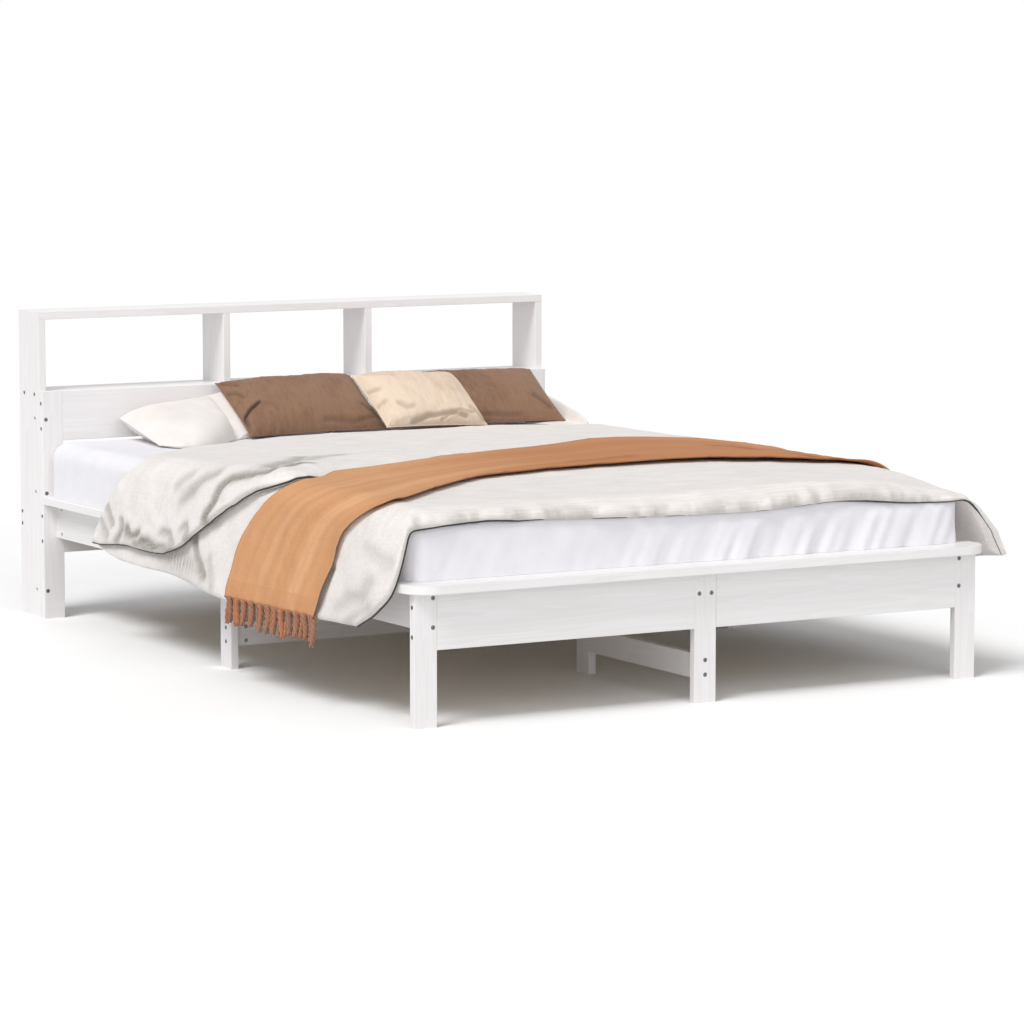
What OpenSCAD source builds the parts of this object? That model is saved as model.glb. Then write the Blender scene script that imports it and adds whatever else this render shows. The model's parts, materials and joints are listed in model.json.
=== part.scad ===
// Wooden double bed with an open bookcase headboard and bedding
// X runs across the bed, +Y towards the headboard, Z up, all sizes in mm

/* [Frame] */

// Width over the outer faces of the legs
frame_w = 1520; // [1400:10:1600]
// Length from the foot legs' front faces to the headboard legs' front faces
frame_l = 2035; // [1935:5:2135]
// Thickness of every board
board_t = 20; // [19:0.5:22]
// Width of the narrow boards: legs, stretchers, ledges, back rail
narrow_w = 58; // [56:1:62]
// Width of the wide boards: apron, head panel, lower head rail
wide_w = 129; // [125:1:135]
// Height of the side rails
rail_h = 89; // [86:1:94]
// Height of the ledges' undersides above the floor
ledge_z = 302; // [290:2:330]
// Width of the foot ledge in front of the mattress, with its overhang
foot_over = 40; // [30:5:50]
// How far the foot ledge stands out past the legs at each end
end_over = 20; // [10:5:30]
// Radius of the foot ledge's front corners
ledge_corner_r = 65; // [40:5:75]
// Height of the low stretchers' undersides
stretcher_z = 53; // [45:1:60]
// Eased edge along every board
edge_ease = 1; // [0.5:0.25:1.5]

/* [Headboard] */

// Height of the headboard
head_h = 805; // [790:5:850]
// Depth of the side boards, the top and the shelf
case_d = 130; // [120:5:160]
// Height of the shelf's upper face
shelf_z = 598; // [590:2:610]
// Distance between the two dividers' middles
divider_gap = 428; // [380:4:480]
// Height of the back rail's underside
back_rail_z = 227; // [215:1:240]

/* [Bed base] */

// Number of slats
slat_count = 15; // [12:1:17]
// Width of one slat
slat_w = 68; // [60:1:75]
// Free space at each slat end
slat_gap = 1; // [0.5:0.5:2]
// Thickness of the slat tapes
tape_t = 1.2; // [1:0.1:1.5]
// Width of the slat tapes
tape_w = 30; // [20:1:40]
// Distance of the slat tapes from the bed's middle
tape_x = 350; // [300:10:450]
// Width of the strips that carry the slat ends
ledger_w = 30; // [25:1:35]
// Free space at each end of those strips, past the rail nuts
ledger_end = 44; // [40:1:60]
// Distance of the two inner centre legs from the ends of the beam
inner_leg_y = 485; // [440:5:520]

/* [Fixings] */

// Bolt shank diameter
bolt_d = 6; // [5:0.5:7]
// Bolt head diameter
bolt_head_d = 10.5; // [10:0.5:13]
// Bolt head thickness
bolt_head_t = 4; // [3:0.5:5]
// Hex socket across the corners
socket_d = 5.2; // [5:0.2:6.4]
// Hex socket depth
socket_depth = 2.6; // [2:0.2:3]
// How far the bolt heads stand back from the face
head_recess = 0.4; // [0.2:0.1:0.8]
// Barrel nut diameter
nut_d = 10; // [9:0.5:11]
// Barrel nut length
nut_l = 16; // [14:0.5:16]
// Distance of the barrel nuts from the board's end
nut_reach = 30; // [26:1:34]
// How far the bolts run past the nuts' middle
bolt_past = 8; // [6:1:10]
// Dowel diameter
dowel_d = 8; // [6:0.5:8]
// Dowel length in the board it pins
dowel_a = 12; // [10:1:13]
// Dowel length in the board that carries it
dowel_b = 18; // [14:1:20]
// Side clearance of bolts, nuts and dowels in their bores
bore_fit = 0.2; // [0.15:0.05:0.3]
// End clearance of the same
end_fit = 0.5; // [0.3:0.1:1]
// Side clearance of the halved joints
joint_fit = 0.2; // [0.1:0.05:0.4]

/* [Bedding] */

// Free strip of frame beside the mattress
mattress_side = 15; // [12:1:20]
// Free strip between the foot legs' front faces and the mattress
mattress_foot = 40; // [36:1:50]
// Free space between the mattress and the headboard
mattress_head = 5; // [3:1:8]
// Mattress thickness
mattress_h = 143; // [130:1:160]
// Edge radius of the mattress
mattress_r = 42; // [30:1:50]
// Corner radius of the mattress in plan
mattress_corner_r = 50; // [45:1:60]
// Sheet thickness
sheet_t = 2; // [1.5:0.1:2.5]
// Clearance between one soft layer and the next
soft_fit = 0.3; // [0.3:0.05:0.6]
// Duvet thickness on top of the mattress
duvet_t = 22; // [16:1:30]
// Extra thickness of the turned-down part
turn_t = 16; // [10:1:20]
// Duvet thickness at the hems
hem_t = 8; // [6:0.5:10]
// Longest hang of the duvet below the mattress edge
hang_drop = 246; // [220:2:270]
// How far the hanging bedding may stand out past the frame
hang_out = 85; // [80:1:100]
// Least distance that the hems stand out from the mattress
hem_out = 54; // [52:1:60]
// Throw thickness
throw_t = 5; // [4:0.5:6]
// Tassels at each end of the throw
tassel_count = 10; // [6:1:12]
// Tassel length
tassel_l = 70; // [50:2:80]
// Slope of the cushions, from flat
lean_angle = 32; // [30:0.5:34]
// Width of the two large cushions
cushion_w = 412; // [400:2:416]
// Height of the two large cushions
cushion_h = 244; // [236:2:246]
// Width of the small cushion
small_w = 316; // [300:2:320]
// Height of the small cushion
small_h = 236; // [230:2:238]

/* [Hidden] */

half_w = frame_w / 2;
total_l = foot_over + frame_l + board_t + case_d;
// Foot face, head leg face, headboard back edge of the legs, back of all
y_foot = foot_over - total_l / 2;
y_head = y_foot + frame_l;
y_case = y_head + board_t;
y_back = y_case + case_d;
y_mid = (y_foot + board_t + y_head) / 2;
base_z = ledge_z + board_t;
side_y = y_foot + narrow_w;
apron_z = ledge_z - wide_w;
rail_z = ledge_z - rail_h;
rail_x = half_w - narrow_w;
lap = board_t / 2;
// Centre beam
web_z = ledge_z - 38;
flange_z = web_z - board_t;
inner_front_y = y_foot + board_t + inner_leg_y;
inner_rear_y = y_head - inner_leg_y;
// Bookcase
top_z = head_h - board_t;
shelf_under = shelf_z - board_t;
case_y = y_case + case_d / 2;
// Heights and spacings of the bolt rows
side_bolt_z = ledge_z - rail_h / 2;
apron_bolt_z = ledge_z - wide_w / 2;
panel_bolt_z = shelf_z - wide_w / 2;
low_bolt_z = stretcher_z + narrow_w / 2;
back_bolt_z = back_rail_z + narrow_w / 2;
// Slats
slat_pitch = (y_head - side_y - 12 - slat_w) / (slat_count - 1);
// Soft layers
mattress_w = frame_w - 2 * mattress_side;
mattress_l = frame_l - mattress_foot - mattress_head;
sheet_x = mattress_w / 2 + soft_fit + sheet_t;
mattress_y0 = y_foot + mattress_foot;
sheet_y0 = mattress_y0 - soft_fit - sheet_t;
mattress_z0 = base_z + soft_fit;
sheet_top = mattress_z0 + mattress_h + soft_fit + sheet_t;
// Outer edge radius of the sheet and the middles of that edge
edge_r = mattress_r + soft_fit + sheet_t;
edge_x = sheet_x - edge_r;
edge_y = sheet_y0 + edge_r;
edge_z = sheet_top - edge_r;
// Farthest the hems stand out from the mattress
out_most = half_w + hang_out - sheet_x - hem_t - soft_fit;
// Scales of the bedding's own outlines, which are drawn for a 1520 mm frame
width_k = frame_w / 1520;
length_k = mattress_l / 1990;
drop_k = hang_drop / 246;

// Board from corner p to corner q with the four edges along one axis eased

module eased(w, h) {
    e = edge_ease;
    polygon([[e, 0], [w - e, 0], [w, e], [w, h - e],
             [w - e, h], [e, h], [0, h - e], [0, e]]);
}

module plank(p, q, along) {
    s = q - p;
    if (along == "z")
        translate(p) linear_extrude(s[2]) eased(s[0], s[1]);
    if (along == "y")
        translate([p[0], q[1], p[2]]) rotate([90, 0, 0])
            linear_extrude(s[1]) eased(s[0], s[2]);
    if (along == "x")
        translate(p) rotate([90, 0, 90]) linear_extrude(s[0]) eased(s[1], s[2]);
}

// Bolts: each entry is [middle of the head's face, direction, grip, nut turn]
// The bolt runs along +Z of its own frame before it is turned

px = [0, 90, 0];
mx = [0, -90, 0];
py = [-90, 0, 0];
my = [90, 0, 0];

function flip(list, right) = right
    ? [for (b = list) [[-b[0][0], b[0][1], b[0][2]], b[1] == px ? mx : b[1], b[2], b[3]]]
    : list;

bx = half_w - board_t / 2 - (narrow_w - board_t);
// Left side groups, the right side mirrors them
foot_rail_bolts = [for (d = [-33, 33]) [[-bx, y_foot, side_bolt_z + d], py, board_t, 90]];
foot_apron_bolts = [for (d = [-33, 33])
    [[-half_w, y_foot + board_t / 2, apron_bolt_z + d], px, narrow_w, 0]];
mid_leg_bolts = [for (d = [-17, 17])
    [[-bx - board_t / 2, y_mid, low_bolt_z + d], px, board_t, 0]];
head_rail_bolts = [for (d = [-33, 33]) [[-bx, y_case, side_bolt_z + d], my, board_t, 90]];
head_lower_bolts = [for (d = [-33, 33])
    [[-half_w, y_head + board_t / 2, apron_bolt_z + d], px, narrow_w, 0]];
head_panel_bolts = [for (d = [-33, 33])
    [[-half_w, y_head + board_t / 2, panel_bolt_z + d], px, narrow_w, 0]];
head_front_bolts = [for (z = [73.5, 331, 525])
    [[-half_w + board_t / 2, y_head, z], py, board_t, 90]];
shelf_bolts = [for (d = [-33, 33])
    [[-half_w, case_y + d, shelf_under + board_t / 2], px, board_t, 90]];
back_rail_bolts = [for (d = [-16, 16])
    [[-half_w, y_back - board_t / 2, back_bolt_z + d], px, board_t, 0]];
// Middle groups
foot_low_bolts = [for (d = [-17, 17]) [[0, y_foot, low_bolt_z + d], py, board_t, 90]];
foot_beam_bolts = [for (d = [-16.5, 16.5])
    [[d, y_foot, flange_z + board_t / 2], py, board_t, 0]];
head_low_bolts = [for (d = [-17, 17]) [[0, y_case, low_bolt_z + d], my, board_t, 90]];
head_beam_bolts = [for (d = [-16.5, 16.5])
    [[d, y_case, flange_z + board_t / 2], my, board_t, 0]];
inner_front_bolts = [for (d = [-17, 17])
    [[0, inner_front_y + narrow_w, low_bolt_z + d], my, narrow_w, 90]];
inner_rear_bolts = [for (d = [-17, 17])
    [[0, inner_rear_y - narrow_w, low_bolt_z + d], py, narrow_w, 90]];

side_groups = concat(foot_rail_bolts, foot_apron_bolts, mid_leg_bolts, head_rail_bolts,
                     head_lower_bolts, head_panel_bolts, head_front_bolts,
                     shelf_bolts, back_rail_bolts);
middle_groups = concat(foot_low_bolts, foot_beam_bolts, head_low_bolts,
                       head_beam_bolts, inner_front_bolts, inner_rear_bolts);
all_bolts = concat(side_groups, flip(side_groups, true), middle_groups);

module bolt(grip) {
    translate([0, 0, head_recess]) difference() {
        union() {
            cylinder(d = bolt_head_d, h = bolt_head_t, $fn = 32);
            cylinder(d = bolt_d, h = grip + nut_reach + bolt_past - head_recess, $fn = 24);
        }
        translate([0, 0, -1]) cylinder(d = socket_d, h = socket_depth + 1, $fn = 6);
    }
}

module bolt_bore(grip) {
    head = bolt_head_t + head_recess + bore_fit;
    translate([0, 0, -1]) cylinder(d = bolt_head_d + 2 * bore_fit, h = head + 1, $fn = 32);
    cylinder(d = bolt_d + 2 * bore_fit, h = grip + nut_reach + bolt_past + end_fit, $fn = 24);
}

module nut(grip, turn) {
    translate([0, 0, grip + nut_reach]) rotate([0, 0, turn]) rotate([90, 0, 0])
        difference() {
            cylinder(d = nut_d, h = nut_l, center = true, $fn = 32);
            rotate([90, 0, 0])
                cylinder(d = bolt_d + 2 * bore_fit, h = 2 * nut_d, center = true, $fn = 24);
        }
}

// The nut's bore is blind: it opens on one face of the board only
module nut_bore(grip, turn) {
    deep = nut_l / 2 + end_fit;
    translate([0, 0, grip + nut_reach]) rotate([0, 0, turn]) rotate([90, 0, 0])
        translate([0, 0, -deep]) cylinder(d = nut_d + 2 * bore_fit, h = deep + board_t, $fn = 32);
}

module bolts(list) {
    for (b = list) translate(b[0]) rotate(b[1]) bolt(b[2]);
}

module nuts(list) {
    for (b = list) translate(b[0]) rotate(b[1]) nut(b[2], b[3]);
}

// Room for bolts in the boards they pass through
module bolt_bores(list) {
    for (b = list) translate(b[0]) rotate(b[1]) bolt_bore(b[2]);
}

// Room for bolts and their nuts in the boards they hold; way turns the opening
module end_bores(list, way = 1) {
    for (b = list) translate(b[0]) rotate(b[1]) {
        bolt_bore(b[2]);
        nut_bore(b[2], b[3] + (way > 0 ? 0 : 180));
    }
}

// Dowels: each entry is [point on the joint, direction into the pinned board]

pz = [0, 0, 0];
mz = [180, 0, 0];
dowel_rows = [-45, 45];
ledge_dowels = [for (x = [-540, -260, 260, 540] * width_k) [[x, y_foot + board_t / 2, ledge_z], pz]];
side_ledge_dowels = [for (y = [-760, -350, 250, 700] * length_k) [[-bx, y, ledge_z], pz]];
mid_lap_dowels = [for (d = [-24, 24]) [[-bx, y_mid, side_bolt_z + d], px]];
side_top_dowels = [for (d = dowel_rows) [[-half_w + board_t / 2, case_y + d, top_z], pz]];
divider_top_dowels = [for (d = dowel_rows) [[-divider_gap / 2, case_y + d, top_z], pz]];
divider_low_dowels = [for (d = dowel_rows) [[-divider_gap / 2, case_y + d, shelf_z], mz]];
panel_dowels = [for (x = [-500, 0, 500] * width_k) [[x, y_case, shelf_under + board_t / 2], my]];
web_dowels = [for (y = [-900, -700, 560, 800] * length_k) [[0, y, web_z], mz]];
front_leg_dowels = [for (d = [-15, 15])
    [[0, inner_front_y + narrow_w / 2 + d, flange_z], pz]];
rear_leg_dowels = [for (d = [-15, 15])
    [[0, inner_rear_y - narrow_w / 2 + d, flange_z], pz]];
mid_leg_dowels = [for (d = [-15, 15]) [[d, y_mid + board_t, flange_z], pz]];
mid_face_dowels = [for (d = [-17, 17]) [[0, y_mid + board_t / 2, low_bolt_z + d], py]];
left_dowels = concat(side_ledge_dowels, side_top_dowels, divider_top_dowels,
                     divider_low_dowels);
middle_dowels = concat(ledge_dowels, panel_dowels, web_dowels, front_leg_dowels,
                       rear_leg_dowels, mid_leg_dowels);
// Short dowels through the halved mid legs and behind the cross stretcher
short_dowels = concat(mid_lap_dowels, flip(mid_lap_dowels, true), mid_face_dowels);
all_dowels = concat(left_dowels, flip(left_dowels, true), middle_dowels);

module dowel_pins(list, a, b) {
    for (k = list) translate(k[0]) rotate(k[1]) translate([0, 0, -b])
        cylinder(d = dowel_d, h = a + b, $fn = 24);
}

module dowel_bores(list, a = dowel_a, b = dowel_b) {
    for (k = list) translate(k[0]) rotate(k[1]) translate([0, 0, -b - end_fit])
        cylinder(d = dowel_d + 2 * bore_fit, h = a + b + 2 * end_fit, $fn = 24);
}

short_a = lap - 3;
module short_bores(list) {
    dowel_bores(list, short_a, short_a);
}

// Foot end

module foot_leg(right) {
    color("white") difference() {
        plank([right ? half_w - narrow_w : -half_w, y_foot, 0],
              [right ? half_w : -half_w + narrow_w, y_foot + board_t, ledge_z], "z");
        bolt_bores(flip(concat(foot_rail_bolts, foot_apron_bolts), right));
    }
}

module foot_leg_left() {
    foot_leg(false);
}

module foot_leg_right() {
    foot_leg(true);
}

module foot_leg_center() {
    color("white") difference() {
        plank([-narrow_w / 2, y_foot, 0], [narrow_w / 2, y_foot + board_t, ledge_z], "z");
        translate([-narrow_w, y_foot + lap, apron_z - joint_fit])
            cube([2 * narrow_w, board_t, wide_w + 1]);
        bolt_bores(concat(foot_low_bolts, foot_beam_bolts));
    }
}

module foot_apron() {
    color("white") difference() {
        plank([-rail_x, y_foot, apron_z], [rail_x, y_foot + board_t, ledge_z], "x");
        translate([-narrow_w / 2 - joint_fit, y_foot - 1, apron_z - 1])
            cube([narrow_w + 2 * joint_fit, lap + 1, wide_w + 2]);
        end_bores(foot_apron_bolts, -1);
        end_bores(flip(foot_apron_bolts, true), -1);
        bolt_bores(foot_beam_bolts);
        dowel_bores(ledge_dowels);
    }
}

module ledge_plan(grow) {
    w = half_w + end_over + grow;
    r = ledge_corner_r + grow;
    d = foot_over + narrow_w;
    intersection() {
        union() {
            translate([-w, r - grow]) square([2 * w, d]);
            translate([-w + r, -grow]) square([2 * (w - r), d]);
            for (s = [-1, 1]) translate([s * (w - r), r - grow]) circle(r = r, $fn = 64);
        }
        translate([-w, -grow]) square([2 * w, d + grow]);
    }
}

module foot_ledge() {
    e = edge_ease;
    color("white") difference() {
        translate([0, y_foot - foot_over, ledge_z]) union() {
            linear_extrude(board_t) ledge_plan(-e);
            translate([0, 0, e]) linear_extrude(board_t - 2 * e) ledge_plan(0);
        }
        dowel_bores(ledge_dowels);
    }
}

// Sides

module side_rail(right) {
    color("white") difference() {
        plank([right ? rail_x : -rail_x - board_t, y_foot + board_t, rail_z],
              [right ? rail_x + board_t : -rail_x, y_head, ledge_z], "y");
        translate([(right ? 1 : -1) * (rail_x + board_t) - lap,
                   y_mid - narrow_w / 2 - joint_fit, rail_z - 1])
            cube([2 * lap, narrow_w + 2 * joint_fit, rail_h + 2]);
        end_bores(flip(foot_rail_bolts, right), right ? 1 : -1);
        end_bores(flip(head_rail_bolts, right), right ? 1 : -1);
        dowel_bores(flip(side_ledge_dowels, right));
        short_bores(flip(mid_lap_dowels, right));
    }
}

module side_rail_left() {
    side_rail(false);
}

module side_rail_right() {
    side_rail(true);
}

module side_ledge(right) {
    color("white") difference() {
        plank([right ? half_w - narrow_w : -half_w, side_y, ledge_z],
              [right ? half_w : -half_w + narrow_w, y_head, base_z], "y");
        dowel_bores(flip(side_ledge_dowels, right));
    }
}

module side_ledge_left() {
    side_ledge(false);
}

module side_ledge_right() {
    side_ledge(true);
}

module slat_ledger(right) {
    color("tan")
        plank([right ? rail_x - ledger_w : -rail_x, y_foot + board_t + ledger_end, ledge_z - board_t],
              [right ? rail_x : -rail_x + ledger_w, y_head - ledger_end, ledge_z], "y");
}

module slat_ledger_left() {
    slat_ledger(false);
}

module slat_ledger_right() {
    slat_ledger(true);
}

module mid_leg(right) {
    color("white") difference() {
        plank([right ? rail_x : -rail_x - board_t, y_mid - narrow_w / 2, 0],
              [right ? rail_x + board_t : -rail_x, y_mid + narrow_w / 2, ledge_z], "z");
        translate([(right ? 1 : -1) * rail_x - lap, y_mid - narrow_w, rail_z - joint_fit])
            cube([2 * lap, 2 * narrow_w, rail_h + 1]);
        bolt_bores(flip(mid_leg_bolts, right));
        short_bores(flip(mid_lap_dowels, right));
    }
}

module mid_leg_left() {
    mid_leg(false);
}

module mid_leg_right() {
    mid_leg(true);
}

// Middle of the base

module mid_leg_center() {
    color("white") difference() {
        plank([-narrow_w / 2, y_mid + board_t / 2, 0],
              [narrow_w / 2, y_mid + 3 * board_t / 2, flange_z], "z");
        dowel_bores(mid_leg_dowels);
        short_bores(mid_face_dowels);
    }
}

module cross_stretcher() {
    color("white") difference() {
        plank([-rail_x, y_mid - board_t / 2, stretcher_z],
              [rail_x, y_mid + board_t / 2, stretcher_z + narrow_w], "x");
        end_bores(mid_leg_bolts);
        end_bores(flip(mid_leg_bolts, true));
        short_bores(mid_face_dowels);
    }
}

module center_leg_front() {
    color("white") difference() {
        plank([-board_t / 2, inner_front_y, 0],
              [board_t / 2, inner_front_y + narrow_w, flange_z], "z");
        bolt_bores(inner_front_bolts);
        dowel_bores(front_leg_dowels);
    }
}

module center_leg_rear() {
    color("white") difference() {
        plank([-board_t / 2, inner_rear_y - narrow_w, 0],
              [board_t / 2, inner_rear_y, flange_z], "z");
        bolt_bores(inner_rear_bolts);
        dowel_bores(rear_leg_dowels);
    }
}

module center_stretcher_front() {
    color("white") difference() {
        plank([-board_t / 2, y_foot + board_t, stretcher_z],
              [board_t / 2, inner_front_y, stretcher_z + narrow_w], "y");
        end_bores(foot_low_bolts);
        end_bores(inner_front_bolts);
    }
}

module center_stretcher_rear() {
    color("white") difference() {
        plank([-board_t / 2, inner_rear_y, stretcher_z],
              [board_t / 2, y_head, stretcher_z + narrow_w], "y");
        end_bores(head_low_bolts);
        end_bores(inner_rear_bolts);
    }
}

module beam_flange() {
    color("white") difference() {
        plank([-narrow_w / 2, y_foot + board_t, flange_z], [narrow_w / 2, y_head, web_z], "y");
        end_bores(foot_beam_bolts, -1);
        end_bores(head_beam_bolts);
        dowel_bores(web_dowels);
        dowel_bores(concat(front_leg_dowels, rear_leg_dowels, mid_leg_dowels));
    }
}

module beam_web() {
    color("white") difference() {
        plank([-board_t / 2, y_foot + board_t, web_z], [board_t / 2, y_head, ledge_z], "y");
        dowel_bores(web_dowels);
    }
}

module slats() {
    len = rail_x - slat_gap;
    color("tan") for (i = [0 : slat_count - 1]) {
        y = side_y + 6 + i * slat_pitch;
        plank([-len, y, ledge_z], [len, y + slat_w, base_z], "x");
    }
}

module slat_tapes() {
    color("white") for (s = [-1, 1])
        translate([s * tape_x - tape_w / 2, side_y + 6, ledge_z - tape_t])
            cube([tape_w, y_head - side_y - 12, tape_t]);
}

// Headboard

module head_leg(right) {
    color("white") difference() {
        plank([right ? half_w - narrow_w : -half_w, y_head, 0],
              [right ? half_w : -half_w + narrow_w, y_case, shelf_z], "z");
        bolt_bores(flip(concat(head_rail_bolts, head_lower_bolts, head_panel_bolts,
                               head_front_bolts), right));
    }
}

module head_leg_left() {
    head_leg(false);
}

module head_leg_right() {
    head_leg(true);
}

module head_leg_center() {
    color("white") difference() {
        plank([-narrow_w / 2, y_head, 0], [narrow_w / 2, y_case, ledge_z], "z");
        translate([-narrow_w, y_head - lap, apron_z - joint_fit])
            cube([2 * narrow_w, 2 * lap, wide_w + 1]);
        bolt_bores(concat(head_low_bolts, head_beam_bolts));
    }
}

module head_side(right) {
    color("white") difference() {
        plank([right ? half_w - board_t : -half_w, y_case, 0],
              [right ? half_w : -half_w + board_t, y_back, top_z], "z");
        end_bores(flip(head_front_bolts, right), right ? 1 : -1);
        bolt_bores(flip(concat(shelf_bolts, back_rail_bolts), right));
        dowel_bores(flip(side_top_dowels, right));
    }
}

module head_side_left() {
    head_side(false);
}

module head_side_right() {
    head_side(true);
}

module head_top() {
    color("white") difference() {
        plank([-half_w, y_case, top_z], [half_w, y_back, head_h], "x");
        dowel_bores(concat(side_top_dowels, flip(side_top_dowels, true)));
        dowel_bores(concat(divider_top_dowels, flip(divider_top_dowels, true)));
    }
}

module head_shelf() {
    color("white") difference() {
        plank([-half_w + board_t, y_case, shelf_under], [half_w - board_t, y_back, shelf_z], "x");
        end_bores(shelf_bolts);
        end_bores(flip(shelf_bolts, true), -1);
        dowel_bores(concat(divider_low_dowels, flip(divider_low_dowels, true)));
        dowel_bores(panel_dowels);
    }
}

module head_divider(right) {
    s = right ? 1 : -1;
    color("white") difference() {
        plank([s * divider_gap / 2 - board_t / 2, y_case, shelf_z],
              [s * divider_gap / 2 + board_t / 2, y_back, top_z], "z");
        dowel_bores(flip(concat(divider_top_dowels, divider_low_dowels), right));
    }
}

module head_divider_left() {
    head_divider(false);
}

module head_divider_right() {
    head_divider(true);
}

module head_panel() {
    color("white") difference() {
        plank([-rail_x, y_head, shelf_z - wide_w], [rail_x, y_case, shelf_z], "x");
        end_bores(head_panel_bolts, -1);
        end_bores(flip(head_panel_bolts, true), -1);
        dowel_bores(panel_dowels);
    }
}

module head_lower_rail() {
    color("white") difference() {
        plank([-rail_x, y_head, apron_z], [rail_x, y_case, ledge_z], "x");
        translate([-narrow_w / 2 - joint_fit, y_head + lap, apron_z - 1])
            cube([narrow_w + 2 * joint_fit, lap + 1, wide_w + 2]);
        end_bores(head_lower_bolts, -1);
        end_bores(flip(head_lower_bolts, true), -1);
        bolt_bores(head_beam_bolts);
    }
}

module head_rear_rail() {
    color("white") difference() {
        plank([-half_w + board_t, y_back - board_t, back_rail_z],
              [half_w - board_t, y_back, back_rail_z + narrow_w], "x");
        end_bores(back_rail_bolts);
        end_bores(flip(back_rail_bolts, true));
    }
}

// Fixings

module joint_bolts() {
    color("gray") bolts(all_bolts);
}

module barrel_nuts() {
    color("silver") nuts(all_bolts);
}

module dowels() {
    color("burlywood") {
        dowel_pins(all_dowels, dowel_a, dowel_b);
        dowel_pins(short_dowels, short_a, short_a);
    }
}

// Mattress and sheet: blocks with rounded upper edges in 30 degree steps

function arc(cx, cz, r, from, to) = [for (k = [0 : 3])
    let (f = from + (to - from) * k / 3) [cx + r * sin(f), cz + r * cos(f)]];

module upper_rounded(w, h, r) {
    polygon(concat([[w / 2, 0]], arc(w / 2 - r, h - r, r, 90, 0),
                   arc(r - w / 2, h - r, r, 0, -90), [[-w / 2, 0]]));
}

module soft_block(grow) {
    w = mattress_w + 2 * grow;
    l = mattress_l + 2 * grow;
    h = mattress_h + grow;
    r = mattress_r + grow;
    c = mattress_corner_r + grow;
    translate([0, mattress_y0 - grow, mattress_z0]) intersection() {
        translate([0, l, 0]) rotate([90, 0, 0]) linear_extrude(l) upper_rounded(w, h, r);
        translate([-w / 2, l / 2, 0]) rotate([90, 0, 90])
            linear_extrude(w) upper_rounded(l, h, r);
        linear_extrude(h) polygon(concat(
            arc(w / 2 - c, l - c, c, 90, 0), arc(c - w / 2, l - c, c, 0, -90),
            arc(c - w / 2, c, c, -90, -180), arc(w / 2 - c, c, c, 180, 90)));
    }
}

module mattress() {
    color("ivory") soft_block(0);
}

module fitted_sheet() {
    color("white") difference() {
        soft_block(soft_fit + sheet_t);
        translate([0, 0, -1]) soft_block(soft_fit);
        soft_block(soft_fit);
    }
}

// Faces of a closed shell: an outer grid of m columns by n rows, then the inner one
// lean tells for each column which way its squares are split

function shell_faces(m, n, lean) = let (k = m * n) concat(
    [for (r = [0 : n - 2], c = [0 : m - 2], half = [0, 1], in = [0, 1])
        let (a = r * m + c + in * k, b = a + 1, d = a + m, e = d + 1,
             t = lean[c] ? (half == 0 ? [a, d, e] : [a, e, b])
                         : (half == 0 ? [a, d, b] : [d, e, b]))
        in == 0 ? t : [t[0], t[2], t[1]]],
    [for (c = [0 : m - 2], half = [0, 1]) let (a = c, b = c + 1)
        half == 0 ? [a, b, b + k] : [a, b + k, a + k]],
    [for (c = [0 : m - 2], half = [0, 1]) let (a = (n - 1) * m + c, b = a + 1)
        half == 0 ? [a, b + k, b] : [a, a + k, b + k]],
    [for (r = [0 : n - 2], half = [0, 1]) let (a = r * m, d = a + m)
        half == 0 ? [d, a, a + k] : [d, a + k, d + k]],
    [for (r = [0 : n - 2], half = [0, 1]) let (a = r * m + m - 1, d = a + m)
        half == 0 ? [d, a + k, a] : [d, d + k, a + k]]);

// Cloth over the mattress. A column s runs from the left hem (-2) over the left
// edge (-1 to 0), the top (0 to 1) and the right edge (1 to 2) to the right hem (3)

cols = [-2, -1.75, -1.5, -1.25, -1, -0.667, -0.333, 0, 0.14, 0.28, 0.42, 0.58, 0.72,
        0.86, 1, 1.333, 1.667, 2, 2.25, 2.5, 2.75, 3];

// A row is [place along the left edge, along the right edge, turn over the foot edge,
// bow towards the head in the bed's middle], places in mm from the foot legs' front
// faces; a turn past 90 is the foot hem, and the row after the turns lies at the edge

rows = [[0, 0, 100, 0], [0, 0, 90, 0], [0, 0, 60, 0], [0, 0, 30, 0], [60, 60, 0, 0],
        [106, 170, 0, 60], [130, 250, 0, 125], [155, 335, 0, 190], [168, 380, 0, 220],
        [180, 420, 0, 250], [260, 500, 0, 250], [340, 580, 0, 250], [420, 660, 0, 250],
        [500, 740, 0, 250], [580, 820, 0, 250], [660, 900, 0, 250], [680, 920, 0, 250],
        [700, 940, 0, 250], [800, 1020, 0, 240], [910, 1110, 0, 230], [1020, 1200, 0, 220],
        [1150, 1290, 0, 210], [1290, 1400, 0, 190], [1430, 1510, 0, 170], [1540, 1600, 0, 160]];
throw_first = 9;
throw_last = 15;
turn_row = 17;
// Distance that the foot hem hangs past the edge's round, at the left and the right
foot_hang = [3, 12];

function place(v) = mattress_y0 + (v - 40) * length_k;

function side_of(s) = s < 0.5 ? -1 : 1;
function hang(s) = s < -1 ? -1 - s : s > 2 ? s - 2 : 0;
function over(s) = s < 0 ? min(1, -s) * 90 : s > 1 ? min(1, s - 1) * 90 : 0;

// Hem height below the edge, along the left side and along the right side
function left_drop(v) = drop_k * lookup(v, [[0, 214], [180, 232], [400, 246], [800, 246],
    [1000, 242], [1200, 212], [1320, 200], [1700, 188]]);
function right_drop(v) = drop_k * lookup(v, [[0, 135], [120, 150], [300, 215], [480, 246],
    [960, 246], [1240, 205], [1700, 182]]);
// How far the hem swings towards the headboard
function left_swing(v) = length_k * lookup(v, [[0, 210], [180, 205], [660, 190], [910, 60],
    [1150, 0], [1430, 0], [1540, 150]]);
function right_swing(v) = length_k * lookup(v, [[0, -40], [260, 20], [480, 0], [1400, 0],
    [1600, 60]]);
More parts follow.
